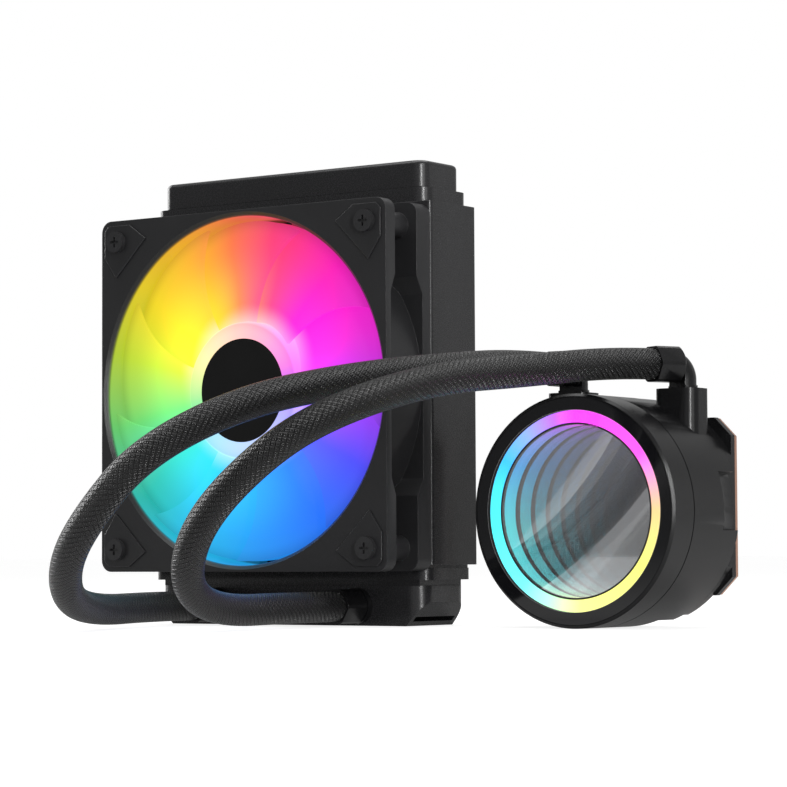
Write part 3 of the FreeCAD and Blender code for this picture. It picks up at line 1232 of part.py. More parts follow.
def hose(name, points):
    """A round bar along straight runs joined by tangent arcs as large as the runs allow."""
    radius = number(d.hose_diameter) / 2
    edges = []
    here = points[0]
    radii = []
    length = 0.0
    for before, point, after in zip(points, points[1:], points[2:]):
        first, second = point - before, after - point
        turn = first.getAngle(second)
        shorter = min(first.Length, second.Length)
        back = BEND_SHARE * shorter
        bend = back / math.tan(turn / 2)
        start = point - first.normalize() * back
        end = point + second.normalize() * back
        to_middle = (second - first).normalize()
        middle = point + to_middle * (bend / math.cos(turn / 2) - bend)
        edges.append(Part.LineSegment(here, start).toShape())
        edges.append(Part.Arc(start, middle, end).toShape())
        length += (start - here).Length + bend * turn
        radii.append(bend)
        here = end
    edges.append(Part.LineSegment(here, points[-1]).toShape())
    length += (points[-1] - here).Length
    spine = Part.Wire(edges)
    ring_wire = Part.Wire(Part.makeCircle(radius, points[0], points[1] - points[0]))
    bar = spine.makePipeShell([ring_wire], True, True)
    expected = math.pi * radius * radius * length
    print(name, "length", round(length, 1), "volume share", round(bar.Volume / expected, 4))
    print(name, "radii", [round(value) for value in radii])
    if abs(bar.Volume / expected - 1) > VOLUME_TOLERANCE:
        raise ValueError(f"{name}: the bar's volume is not section times length")
    solid_node(name, bar)


hose("hose_right", hose_points(1, number(d.right_turn), RIGHT_ROUTE, RIGHT_ENDS))
hose("hose_left", hose_points(-1, number(d.left_turn), LEFT_ROUTE, LEFT_ENDS))

doc.recompute()
for thing in doc.Objects:
    if "Invalid" in thing.State or "Error" in thing.State:
        raise ValueError(f"{thing.Name} failed: {thing.State}")
for name, thing in nodes.items():
    if thing.Shape.isNull() or not thing.Shape.isValid() or not thing.Shape.Solids:
        raise ValueError(f"{name} has no valid solid")

os.makedirs("parts", exist_ok=True)
for name, thing in nodes.items():
    thing.Shape.exportStep(f"parts/{name}.step")
print(len(nodes), "nodes written")
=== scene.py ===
# %% [markdown]
# # A lit liquid cooler
#
# The object is a closed-loop cooler for a processor: a slim radiator with one fan on its face, two
# braided hoses, and a round pump head whose glass front shows a ring of light again and again. Its
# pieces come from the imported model, so nothing here moves or resizes them. This lesson gives each
# piece the finish of the real one, and builds what the solids leave plain: the rounded edges that
# catch the light, the wide blades of the fan, the woven sleeves of the hoses, and the glow.

# %% Load the frame
import bmesh
import bpy
import json
import math
from mathutils import Matrix, Vector


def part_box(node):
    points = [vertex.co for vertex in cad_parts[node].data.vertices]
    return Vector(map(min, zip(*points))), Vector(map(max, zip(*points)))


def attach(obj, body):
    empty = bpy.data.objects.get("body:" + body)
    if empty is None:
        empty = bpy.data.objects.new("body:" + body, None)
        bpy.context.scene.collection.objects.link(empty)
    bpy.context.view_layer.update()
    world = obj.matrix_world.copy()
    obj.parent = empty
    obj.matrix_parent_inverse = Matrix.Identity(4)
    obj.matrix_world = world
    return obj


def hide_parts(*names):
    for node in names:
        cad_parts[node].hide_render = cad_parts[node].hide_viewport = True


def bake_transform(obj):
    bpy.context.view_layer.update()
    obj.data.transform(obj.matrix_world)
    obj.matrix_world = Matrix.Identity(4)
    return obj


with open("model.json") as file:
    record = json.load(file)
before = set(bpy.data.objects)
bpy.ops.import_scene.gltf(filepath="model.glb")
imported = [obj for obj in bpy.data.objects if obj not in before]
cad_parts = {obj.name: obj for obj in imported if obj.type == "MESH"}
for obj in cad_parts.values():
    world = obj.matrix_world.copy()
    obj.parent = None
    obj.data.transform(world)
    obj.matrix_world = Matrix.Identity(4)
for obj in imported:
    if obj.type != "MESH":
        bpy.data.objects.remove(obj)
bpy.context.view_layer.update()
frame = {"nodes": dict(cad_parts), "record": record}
scene = bpy.context.scene
scene.view_settings.view_transform = "Standard"
MM = 0.001


def placed(name, data):
    """A new object with this data, both under one name."""
    data.name = name
    item = bpy.data.objects.new(name, data)
    scene.collection.objects.link(item)
    return item


# %% [markdown]
# ## Camera
#
# The camera was worked out from the straight edges of the fan, whose size is standard. It stands in
# front, to the right, a little lower than the fan's middle, and looks slightly up. A long lens
# keeps the fan's square almost square.

# %% Camera
CAMERA_PLACE = Vector((594.6, -784.2, 22.9)) * MM
CAMERA_AZIMUTH = math.radians(35.494)
CAMERA_PITCH = math.radians(3.228)
CAMERA_ROLL = math.radians(0.277)
CAMERA_LENS = 131.92
SENSOR_WIDTH = 36
NEAREST, FARTHEST = 0.01, 50


def make_camera():
    """The photograph's view, as a turn about Z, then the pitch, then the roll."""
    lens = bpy.data.cameras.new("camera")
    lens.sensor_width = SENSOR_WIDTH
    lens.lens = CAMERA_LENS
    lens.clip_start = NEAREST
    lens.clip_end = FARTHEST
    camera = placed("camera", lens)
    turn = Matrix.Rotation(CAMERA_AZIMUTH, 4, "Z") @ Matrix.Rotation(math.pi / 2 + CAMERA_PITCH, 4, "X")
    camera.matrix_world = Matrix.Translation(CAMERA_PLACE) @ turn @ Matrix.Rotation(-CAMERA_ROLL, 4, "Z")
    scene.camera = camera
    print("camera at", [round(value, 3) for value in camera.matrix_world.translation])


make_camera()

# %% [markdown]
# ## Shader maths as sums
#
# A material is easier to read as a sum than as boxes and wires. `Value` wraps one output socket and
# knows + - * /, so an expression adds its own Math nodes. `Finish` starts a material, and its `node`
# adds any other node: settings first, then values or links.

# %% A small language for materials
NOISE_ROUGHNESS = 0.55


class Value:
    """One output socket of a material, used like a number."""

    def __init__(self, finish, socket):
        self.finish = finish
        self.socket = socket

    def maths(self, operation, *others):
        return self.finish.node("ShaderNodeMath", {"operation": operation}, self, *others)

    def __add__(self, other):
        return self.maths("ADD", other)

    def __sub__(self, other):
        return self.maths("SUBTRACT", other)

    def __mul__(self, other):
        return self.maths("MULTIPLY", other)

    def __truediv__(self, other):
        return self.maths("DIVIDE", other)

    def __radd__(self, other):
        return self.maths("ADD", other)

    def __rmul__(self, other):
        return self.maths("MULTIPLY", other)

    def __rsub__(self, other):
        return self.finish.node("ShaderNodeMath", {"operation": "SUBTRACT"}, other, self)

    def power(self, exponent):
        return self.maths("POWER", exponent)

    def sine(self):
        return self.maths("SINE")

    def size(self):
        return self.maths("ABSOLUTE")

    def most(self, other):
        return self.maths("MAXIMUM", other)

    def least(self, other):
        return self.maths("MINIMUM", other)

    def output(self, which):
        """Another output of the same node, by its name or number."""
        return Value(self.finish, self.socket.node.outputs[which])


class Finish:
    """One material with a Principled surface. Numbers that are the same all over go on its sockets."""

    def __init__(self, name, **constants):
        self.material = bpy.data.materials.new(name)
        self.material.use_nodes = True
        self.tree = self.material.node_tree
        self.surface = self.tree.nodes["Principled BSDF"]
        for socket, value in constants.items():
            self.surface.inputs[socket.replace("_", " ")].default_value = value

    def node(self, kind, settings=(), *values, output=0, sockets=(), **named):
        """Adds a node: its settings first, then its inputs in order, by number or by name."""
        made = self.tree.nodes.new(kind)
        for key, value in dict(settings).items():
            setattr(made, key, value)
        by_name = {key.replace("_", " "): value for key, value in named.items()}
        for key, value in [*enumerate(values), *dict(sockets).items(), *by_name.items()]:
            socket = made.inputs[key]
            if isinstance(value, Value):
                self.tree.links.new(value.socket, socket)
            elif socket.type == "RGBA":
                socket.default_value = (*value, 1.0)
            else:
                socket.default_value = value
        return Value(self, made.outputs[output])

    def feed(self, socket, value):
        """Links a value to one of the surface's inputs."""
        self.tree.links.new(value.socket, self.surface.inputs[socket])

    def vector(self, operation, *values, output=0, **named):
        return self.node("ShaderNodeVectorMath", {"operation": operation}, *values, output=output, **named)

    def coordinates(self, centre=(0, 0, 0)):
        """Object coordinates in millimetres, counted from a centre given in metres."""
        spot = self.node("ShaderNodeTexCoord").output("Object")
        return self.vector("MULTIPLY", self.vector("SUBTRACT", spot, centre), (1 / MM, 1 / MM, 1 / MM))

    def split(self, vector):
        """The three numbers of a vector."""
        first = self.node("ShaderNodeSeparateXYZ", {}, vector)
        return first, first.output(1), first.output(2)

    def noise(self, where, scale, detail):
        shape = {"Vector": where, "Scale": scale, "Detail": detail, "Roughness": NOISE_ROUGHNESS}
        return self.node("ShaderNodeTexNoise", sockets=shape)

    def ramp(self, value, stops):
        """A colour for each place along a value from 0 to 1."""
        made = self.node("ShaderNodeValToRGB", {}, value)
        elements = made.socket.node.color_ramp.elements
        while len(elements) < len(stops):
            elements.new(0.5)
        for element, (place, color) in zip(elements, sorted(stops)):
            element.position = place
            element.color = (*color, 1.0)
        return made

    def blend(self, factor, first, second):
        """A colour between two colours."""
        kind = {"data_type": "RGBA"}
        return self.node("ShaderNodeMix", kind, output=2, sockets={0: factor, 6: first, 7: second})

    def step(self, value, low, high):
        """0 below low, 1 above high, smooth between."""
        kind = {"interpolation_type": "SMOOTHSTEP"}
        return self.node("ShaderNodeMapRange", kind, value, low, high, 0.0, 1.0)

    def bump(self, height, depth):
        """Relief, with its depth in metres."""
        self.feed("Normal", self.node("ShaderNodeBump", {}, Strength=1.0, Distance=depth, Height=height))


# %% [markdown]
# ## Black finishes
#
# Nearly everything on the cooler is black, and what tells the pieces apart is how they shine. The
# moulded parts have a fine grain that spreads the light. The painted metal is smoother, with a
# slow waviness. Both stay dark because little light comes straight back from them.

# %% Moulded plastic and painted metal
GRAIN, PATCHES = 2.6, 0.05


def tinted(color, share):
    """The same colour, lighter or darker."""
    return tuple(channel * share for channel in color)


def grained(finish, color, roughness, grain):
    """A fine mould grain, and faint patches of other gloss."""
    where = finish.coordinates()
    fine = finish.noise(where, GRAIN, 2.0)
    patches = finish.noise(where, PATCHES, 3.0)
    finish.feed("Base Color", finish.blend(patches, color, tinted(color, 1.5)))
    finish.feed("Roughness", roughness - 0.05 + fine * 0.06 + patches * 0.05)
    finish.bump(fine, grain)


def moulded(name, color, roughness, grain, shine=0.22):
    """Moulded plastic or rubber, one colour all over."""
    finish = Finish(name, **{"Specular IOR Level": shine})
    grained(finish, color, roughness, grain)
    return finish.material


def painted(name, color, roughness, wave, shine):
    """Powder paint on metal: a slow waviness under a tight grain."""
    finish = Finish(name, **{"Specular IOR Level": shine})
    where = finish.coordinates()
    slow = finish.noise(where, 0.35, 2.0)
    tight = finish.noise(where, 3.2, 1.0)
    finish.feed("Base Color", finish.blend(slow, color, tinted(color, 1.4)))
    finish.feed("Roughness", roughness - 0.04 + tight * 0.08)
    finish.bump(slow * 0.7 + tight * 0.3, wave)
    return finish.material


BLACK = (0.015, 0.015, 0.016)
GLOSS_BLACK = (0.005, 0.005, 0.0054)
pump_plastic = moulded("pump_plastic", GLOSS_BLACK, 0.25, 0.000006, 0.36)
fitting_plastic = moulded("fitting_plastic", GLOSS_BLACK, 0.25, 0.000008, 0.42)
tank_paint = painted("tank_paint", BLACK, 0.27, 0.00002, 0.5)
core_paint = painted("core_paint", (0.009, 0.009, 0.01), 0.5, 0.00002, 0.26)
pad_rubber = moulded("pad_rubber", BLACK, 0.34, 0.00003, 0.45)
seal_rubber = moulded("seal_rubber", (0.012, 0.012, 0.012), 0.55, 0.00003)
cap_black = moulded("cap_black", (0.006, 0.006, 0.006), 0.3, 0.00001)
screw_black = painted("screw_black", (0.02, 0.02, 0.021), 0.3, 0.00002, 0.5)
ferrite = moulded("ferrite", (0.06, 0.06, 0.062), 0.5, 0.00003)
ceramic = moulded("ceramic", (0.7, 0.69, 0.66), 0.2, 0.00001)
print("plastic, paint and rubber ready")

# %% [markdown]
# ## Bare metal and circuit boards
#
# The cold plate, the fan's yoke and shaft and the windings are bare metal. Their marks run one way,
# so the noise is squeezed across them. The boards are green lacquer over tracks.

# %% Bare metal and boards
def metal(name, color, roughness, stretch):
    """Bare metal with fine marks along one direction."""
    finish = Finish(name, Metallic=1.0)
    where = finish.coordinates()
    marks = finish.noise(finish.vector("MULTIPLY", where, stretch), 0.8, 4.0)
    finish.feed("Base Color", finish.blend(marks, tinted(color, 0.8), color))
    finish.feed("Roughness", roughness + marks * 0.12)
    finish.bump(marks, 0.00002)
    return finish.material


steel = metal("steel", (0.56, 0.56, 0.57), 0.28, (1, 1, 12))
copper = metal("copper", (0.82, 0.47, 0.34), 0.24, (9, 1, 1))
winding = metal("winding", (0.6, 0.24, 0.1), 0.35, (1, 14, 1))


def board_green():
    """A circuit board: lacquer over copper tracks that show as paler lines."""
    finish = Finish("circuit_board", **{"Specular IOR Level": 0.5})
    x, _, z = finish.split(finish.coordinates())
    tracks = finish.step((x * 2.1).sine().size().least((z * 1.7).sine().size()), 0.1, 0.16)
    finish.feed("Base Color", finish.blend(tracks, (0.05, 0.2, 0.09), (0.012, 0.07, 0.03)))
    finish.feed("Roughness", 0.3 + tracks * 0.12)
    finish.bump(tracks, 0.00004)
    return finish.material


circuit_board = board_green()
print("metals and boards ready")

# %% [markdown]
# ## The fan's glow
#
# Lamps behind the hub light the milky rotor in all colours of the rainbow, one after the other
# round the axis. The plastic spreads the light so well that the blades hardly show. The colour is a
# ramp over the angle round the axis. It goes into the emission, so the fan lights the frame and the
# hoses too. The rotor's light on the black duct round the blades is painted light: the same colours
# go into the frame's emission there.

# %% Places and colours of the glow
FAN_FRONT = (0.0, -0.0385, 0.078)
RAINBOW = [
    (0.00, (0.42, 0.04, 0.86)),
    (0.06, (0.80, 0.02, 0.62)),
    (0.13, (1.00, 0.01, 0.50)),
    (0.21, (1.00, 0.05, 0.20)),
    (0.27, (1.00, 0.20, 0.07)),
    (0.33, (1.00, 0.48, 0.03)),
    (0.39, (0.95, 0.72, 0.02)),
    (0.46, (0.55, 0.76, 0.04)),
    (0.53, (0.16, 0.72, 0.18)),
    (0.60, (0.03, 0.60, 0.50)),
    (0.68, (0.02, 0.54, 0.88)),
    (0.77, (0.02, 0.32, 0.97)),
    (0.84, (0.02, 0.18, 1.00)),
    (0.92, (0.08, 0.08, 1.00)),
    (1.00, (0.42, 0.04, 0.86)),
]
HUB_EDGE = 22.8
DUCT_EDGE = 58.0
FLARE_DEPTH = 1.6
FRAME_EDGE = 59.9
SHINE_ANGLE = 1.8
TURN = 2 * math.pi


def axis_place(finish, centre):
    """The distance from an axis along Y, and the depth along it, in millimetres."""
    x, y, z = finish.split(finish.coordinates(centre))
    return (x * x + z * z).power(0.5), y


def share_of_turn(finish, centre):
    """The share of a turn round an axis along Y, from +X over +Z."""
    x, _, z = finish.split(finish.coordinates(centre))
    return (z.maths("ARCTAN2", x) / TURN + 1.0).maths("FRACT")


# %% Rotor and frame
def rotor_glow():
    """Lit milky plastic: saturated round the axis, a white shine by the hub, dimmer at the rim."""
    finish = Finish("rotor_glow", Roughness=0.4, **{"Specular IOR Level": 0.1, "Emission Strength": 1.0})
    radius, depth = axis_place(finish, FAN_FRONT)
    turn = share_of_turn(finish, FAN_FRONT)
    drift = finish.noise(finish.coordinates(FAN_FRONT), 0.03, 1.0)
    rainbow = finish.ramp((turn + (drift - 0.5) * 0.04).maths("FRACT"), RAINBOW)
    lobe = 0.3 + (turn * TURN - SHINE_ANGLE).maths("COSINE").size() * 0.7
    near_hub = (1 - finish.step(radius, HUB_EDGE - 4, HUB_EDGE + 7)) * lobe
    glow = finish.blend(near_hub * 0.5, rainbow, (0.9, 0.88, 0.9))
    falling = finish.step(radius, 30.0, 54.0) * 0.55 + finish.step(radius, 52.0, 58.5) * 0.3
    past_cup = finish.step(radius, HUB_EDGE, HUB_EDGE + 0.4)
    lip = finish.step(radius, HUB_EDGE - 0.9, HUB_EDGE - 0.3) * (1 - past_cup)
    on_cup = finish.step(HUB_EDGE - radius, 0.0, 0.5)
    power = 1.5 - falling - on_cup * 0.25 + lip * 0.25
    finish.feed("Emission Color", finish.vector("SCALE", glow, Scale=power))
    # Painted shade: the base colour darkens with depth along the axis, so deeper parts are darker.
    finish.feed("Base Color", finish.blend(depth * 0.05, (0.02, 0.02, 0.02), (0.012, 0.012, 0.012)))
    return finish.material


def frame_finish_with_painted_glow():
    """The frame's grained black plastic, with the rotor's light painted on the wall of its duct as
    emission.
    """
    finish = Finish("frame_plastic", **{"Specular IOR Level": 0.45, "Emission Strength": 1.0})
    grained(finish, BLACK, 0.38, 0.00004)
    radius, depth = axis_place(finish, FAN_FRONT)
    in_front = 1 - finish.step(depth, FLARE_DEPTH, FLARE_DEPTH + 0.2)
    in_frame = 1 - finish.step(radius, FRAME_EDGE, FRAME_EDGE + 0.2)
    in_duct = 1 - finish.step(radius, DUCT_EDGE + 0.2, DUCT_EDGE + 0.5)
    # Painted light: the rotor's glow on the duct wall goes into the frame's emission, rising past the front
    # edge and fading deep in.
    painted_glow_fade = finish.step(depth, 0.8, 2.6) * 0.75 - finish.step(depth, 14.0, 21.0) * 0.6
    duct_glow_painted = (in_front * in_frame).most(in_duct) * painted_glow_fade
    rainbow = finish.ramp(share_of_turn(finish, FAN_FRONT), RAINBOW)
    finish.feed("Emission Color", finish.vector("SCALE", rainbow, Scale=duct_glow_painted))
    return finish.material


rotor_plastic = rotor_glow()
frame_plastic = frame_finish_with_painted_glow()
print(len(RAINBOW), "colours round the fan")

# %% [markdown]
# ## The endless ring
#
# The pump's front is a half-silvered glass. Behind it, a ring of light lies on a mirror. Light goes
# to and fro between glass and mirror, and a little leaks out each time, so the ring shows again and
# again, each time further in. The renderer's rays follow that path when both faces really mirror,
# so no copies are drawn: the ring glows, the plate behind is a mirror, and the glass mirrors too.
# Each trip takes a few bounces, so more of them are allowed.

# %% Glass, mirror and ring
PUMP_CENTRE = (0.1174, -0.0195, 0.0367)
RING_COLORS = [
    (0.00, (0.75, 0.52, 0.22)),
    (0.05, (0.90, 0.32, 0.48)),
    (0.10, (1.00, 0.08, 0.78)),
    (0.25, (1.00, 0.04, 1.00)),
    (0.29, (0.46, 0.12, 1.00)),
    (0.35, (0.22, 0.36, 1.00)),
    (0.41, (0.03, 0.44, 1.00)),
    (0.48, (0.05, 0.76, 1.00)),
    (0.53, (0.06, 0.90, 0.95)),
    (0.64, (0.14, 0.90, 0.95)),
    (0.70, (0.45, 0.96, 0.60)),
    (0.76, (0.95, 0.95, 0.25)),
    (0.90, (0.80, 0.80, 0.16)),
    (1.00, (0.75, 0.52, 0.22)),
]
SILVER_RADIUS = 31.6
RING_INNER = 27.1
GLASS_BACK = 1.65
LIT_FROM = 3.0


def lit_ring():
    """The front glows but for a dark inner lip, and so does the wall deeper than LIT_FROM."""
    finish = Finish("lit_ring", Roughness=0.5, **{"Emission Strength": 1.5})
    radius, depth = axis_place(finish, PUMP_CENTRE)
    color = finish.ramp(share_of_turn(finish, PUMP_CENTRE), RING_COLORS)
    face = 1 - finish.step(depth, GLASS_BACK + 0.05, GLASS_BACK + 0.15)
    lip = finish.step(radius, RING_INNER + 0.5, RING_INNER + 0.7)
    lit = (face * lip).most(finish.step(depth, LIT_FROM - 0.15, LIT_FROM + 0.15))
    finish.feed("Emission Color", finish.blend(lit, (0.0, 0.0, 0.0), color))
    finish.feed("Base Color", finish.blend(lit, (0.01, 0.01, 0.01), (0.04, 0.04, 0.04)))
    return finish.material


def silvered_plate():
    """A mirror with a faint cloud in it."""
    finish = Finish("silvered_plate", Metallic=1.0)
    cloud = finish.noise(finish.coordinates(PUMP_CENTRE), 0.04, 2.0)
    finish.feed("Base Color", finish.blend(cloud, (0.93, 0.94, 0.95), (0.95, 0.96, 0.97)))
    finish.feed("Roughness", cloud * 0.01)
    return finish.material


def front_pane():
    """Black lacquer round the edge, and a half-silvered field inside it."""
    finish = Finish("front_pane", **{"Specular IOR Level": 0.7})
    radius, depth = axis_place(finish, PUMP_CENTRE)
    border = finish.step(radius, SILVER_RADIUS - 0.15, SILVER_RADIUS + 0.15)
    inner_face = finish.step(depth, 0.6, 0.9)
    finish.feed("Alpha", (0.03 + inner_face * 0.55).most(border))
    finish.feed("Metallic", (1 - border) * inner_face)
    finish.feed("Base Color", finish.blend(border, (0.93, 0.94, 0.96), (0.004, 0.004, 0.005)))
    finish.feed("Roughness", 0.02 + border * 0.03)
    return finish.material


ring_light = lit_ring()
mirror = silvered_plate()
pane = front_pane()
scene.cycles.max_bounces = 24
scene.cycles.glossy_bounces = 16
scene.cycles.transparent_max_bounces = 48
print(len(RING_COLORS), "colours round the ring")

# %% [markdown]
# ## Edges that catch the light
#
# The solids have knife edges, but a moulded or bent edge is slightly round, and on a black object
# these thin bright lines draw the shape. Each main shell is copied, its loose triangles are joined,
# flat areas are merged into single faces, and a small bevel goes on every sharp edge. The copy
# stands for the piece, and the frame's own mesh stays as it was.

# %% Rounded copies of the shells
BODIES = {node: body for body, nodes in frame["record"]["behaviour"]["bodies"].items() for node in nodes}
FLAT = math.radians(0.6)
SHARP = math.radians(28)
TOUCHING = 0.002 * MM
BEVEL_STEPS = 2


def shade(mesh, material):
    """One material all over, smooth but for the sharp edges."""
    mesh.materials.clear()
    mesh.materials.append(material)
    count = len(mesh.polygons)
    mesh.polygons.foreach_set("material_index", [0] * count)
    mesh.polygons.foreach_set("use_smooth", [True] * count)
    mesh.set_sharp_from_angle(angle=SHARP)


def stand_in(piece, node):
    """The piece takes a node's place on its body, and the node is hidden."""
    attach(piece, BODIES[node])
    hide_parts(node)


def rounded(node, material, width):
    """A copy of a node with joined faces and bevelled edges, standing for the node."""
    mesh = frame["nodes"][node].data.copy()
    work = bmesh.new()
    work.from_mesh(mesh)
    bmesh.ops.remove_doubles(work, verts=work.verts, dist=TOUCHING)
    bmesh.ops.dissolve_limit(
        work, angle_limit=FLAT, use_dissolve_boundaries=False, verts=work.verts, edges=work.edges
    )
    work.to_mesh(mesh)
    work.free()
    shade(mesh, material)
    piece = placed(f"{node}_shell", mesh)
    bevel = piece.modifiers.new("edges", "BEVEL")
    bevel.width = width
    bevel.segments = BEVEL_STEPS
    bevel.limit_method = "ANGLE"
    bevel.angle_limit = SHARP
    bevel.harden_normals = True
    stand_in(piece, node)


SHELLS = [
    ("fan_frame", frame_plastic, 0.6),
    ("side_channel_left", tank_paint, 0.2),
    ("side_channel_right", tank_paint, 0.2),
    ("upper_tank", tank_paint, 0.6),
    ("upper_header_pan", tank_paint, 0.6),
    ("lower_header_pan", tank_paint, 0.3),
    ("lower_tank", tank_paint, 0.4),
    ("pump_housing", pump_plastic, 0.25),
    ("pump_base", pump_plastic, 0.3),
    ("elbow_left", fitting_plastic, 0.2),
    ("elbow_right", fitting_plastic, 0.2),
    ("elbow_collar_left", fitting_plastic, 0.25),
    ("elbow_collar_right", fitting_plastic, 0.25),
    ("tank_hose_collars", fitting_plastic, 0.25),
    ("fan_corner_pads", pad_rubber, 0.35),
    ("cold_plate", copper, 0.2),
]
for node, material, width in SHELLS:
    rounded(node, material, width * MM)
print(len(SHELLS), "shells rounded")

# %% [markdown]
# ## Finishes of the pieces that keep their mesh
#
# The rest keeps its own mesh and only gets a better material. A table of node and finish is enough,
# because each of these pieces is one material all over.

# %% Materials for the other nodes
PLAIN = {
    "fan_screws": screw_black, "base_screws": screw_black, "fan_hub_cap": cap_black,
    "fan_rotor_yoke": steel, "fan_magnet": ferrite, "fan_shaft": steel, "fan_bearing": steel,
    "fan_motor_core": steel, "fan_coils": winding, "fan_light_board": circuit_board,
    "radiator_tubes": core_paint, "radiator_fins": core_paint, "tank_fittings": fitting_plastic,
    "front_glass": pane, "light_ring": ring_light, "lamp_frame": frame_plastic, "rear_mirror": mirror,
    "ring_light_board": circuit_board, "pump_motor": winding, "pump_board": circuit_board,
    "impeller": fitting_plastic, "impeller_bush": ceramic, "impeller_pin": ceramic,
    "chamber_plate": fitting_plastic, "base_gasket": seal_rubber, "elbow_seal_left": seal_rubber,
    "elbow_seal_right": seal_rubber,
}
for node, material in PLAIN.items():
    slots = frame["nodes"][node].material_slots
    if len(slots):
        slots[0].material = material
    else:
        frame["nodes"][node].data.materials.append(material)
print(len(PLAIN), "nodes finished")

# %% [markdown]
# ## Fan rotor
#
# The blades are one blade, repeated round the cup by a node tree. The blade is a sheet that twists
# from its front edge to its back edge, wide enough to reach behind the next one, so no gap shows
# between them. The cup is a profile turned round the axis.

# %% A small language for node trees
class Tree:
    """A Geometry Nodes tree with named inputs."""

    def __init__(self, name, **inputs):
        self.group = bpy.data.node_groups.new(name, "GeometryNodeTree")
        self.group.interface.new_socket("Geometry", in_out="INPUT", socket_type="NodeSocketGeometry")
        self.sockets = {}
        for label, (kind, value) in inputs.items():
            made = self.group.interface.new_socket(label, in_out="INPUT", socket_type=f"NodeSocket{kind}")
            made.default_value = value
            self.sockets[label] = made.identifier
        self.group.interface.new_socket("Geometry", in_out="OUTPUT", socket_type="NodeSocketGeometry")
        self.start = self.group.nodes.new("NodeGroupInput")
        self.end = self.group.nodes.new("NodeGroupOutput")

    def node(self, kind, settings=(), **values):
        """Adds a node: its settings first, then the values or links of its inputs by name."""
        made = self.group.nodes.new(kind)
        for key, value in dict(settings).items():
            setattr(made, key, value)
        for key, value in values.items():
            label = key.replace("_", " ")
            self.join(value, next(item for item in made.inputs if item.enabled and item.name == label))
        return made

    def join(self, value, socket):
        """Links an output to an input, or gives the input a value."""
        if isinstance(value, bpy.types.NodeSocket):
            self.group.links.new(value, socket)
        else:
            socket.default_value = value

    def maths(self, operation, first, second):
        """The result of a sum of two links or numbers."""
        made = self.node("ShaderNodeMath", {"operation": operation})
        self.join(first, made.inputs[0])
        self.join(second, made.inputs[1])
        return made.outputs[0]

    def finish(self, geometry):
        """Ends the tree: real geometry, with its material."""
        real = self.node("GeometryNodeRealizeInstances", Geometry=geometry)
        material = self.start.outputs["Material"]
        skin = self.node("GeometryNodeSetMaterial", Geometry=real.outputs[0], Material=material)
        self.group.links.new(skin.outputs[0], self.end.inputs[0])

    def bake(self, holder, **values):
        """An object's shape through the tree, with its inputs set by their sockets' identifiers."""
        modifier = holder.modifiers.new(self.group.name, "NODES")
        modifier.node_group = self.group
        for label, value in values.items():
            modifier[self.sockets[label]] = value
        mesh = baked(holder)
        holder.modifiers.remove(modifier)
        bpy.data.objects.remove(holder)
        return mesh


def baked(holder):
    """The object's evaluated shape as a plain mesh."""
    bpy.context.view_layer.update()
    return bpy.data.meshes.new_from_object(holder.evaluated_get(bpy.context.evaluated_depsgraph_get()))


def ring_tree():
    """Copies of the given piece, evenly round the fan's axis."""
    tree = Tree("blade_ring", Count=("Int", 1), Material=("Material", None))
    given = tree.start.outputs
    spots = tree.node("GeometryNodePoints", Count=given["Count"])
    number = tree.node("GeometryNodeInputIndex")
    share = tree.maths("DIVIDE", number.outputs[0], given["Count"])
    spin = tree.node("ShaderNodeCombineXYZ", Y=tree.maths("MULTIPLY", share, TURN))
    ring = tree.node("GeometryNodeInstanceOnPoints", Points=spots.outputs[0], Instance=given["Geometry"],
                     Rotation=spin.outputs[0])
    tree.finish(ring.outputs[0])
    return tree


# %% Blades and cup
BLADE_COUNT = 9
BLADE_REACH = math.radians(64)
BLADE_LEAN = math.radians(14)
BLADE_WALL = 1.2
BLADE_SPAN = (3.8, 13.4)
BLADE_CURL = 1.25
CUP_WALL = 1.4
CUP_EDGE = 1.1
CUP_SIDES = 96
CUP_EDGE_STEPS = 4
CUP_WELD = 0.001 * MM
CAP_GAP, CAP_SINK = 0.1, 0.05
ROWS, STEPS = 14, 18
rotor_low, rotor_high = (Vector(corner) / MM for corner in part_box("fan_rotor"))
TIP = (rotor_high.x - rotor_low.x) / 2 - BLADE_WALL / 2
CUP_FRONT = rotor_low.y - FAN_FRONT[1] / MM
CUP_BACK = rotor_high.y - FAN_FRONT[1] / MM
cap_low, cap_high = (Vector(corner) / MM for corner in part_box("fan_hub_cap"))
CAP_RADIUS = (cap_high.x - cap_low.x) / 2 + CAP_GAP
CAP_DEPTH = cap_high.y - cap_low.y + CAP_SINK


def blade_sheet():
    """One blade without thickness, about the fan's axis."""
    front, back = BLADE_SPAN
    places = []
    for row in range(ROWS + 1):
        out = row / ROWS
        radius = HUB_EDGE - CUP_WALL / 2 + (TIP - HUB_EDGE + CUP_WALL / 2) * out
        for step in range(STEPS + 1):
            share = step / STEPS
            angle = BLADE_REACH * share - BLADE_LEAN * out * out
            depth = front + (back - front) * (share ** BLADE_CURL)
            places.append(Vector((math.cos(angle) * radius, depth, math.sin(angle) * radius)) * MM)
    width = STEPS + 1
    faces = [
        (row * width + step, row * width + step + 1, (row + 1) * width + step + 1, (row + 1) * width + step)
        for row in range(ROWS) for step in range(STEPS)
    ]
    mesh = bpy.data.meshes.new("blade_sheet")
    mesh.from_pydata(places, [], faces)
    return mesh


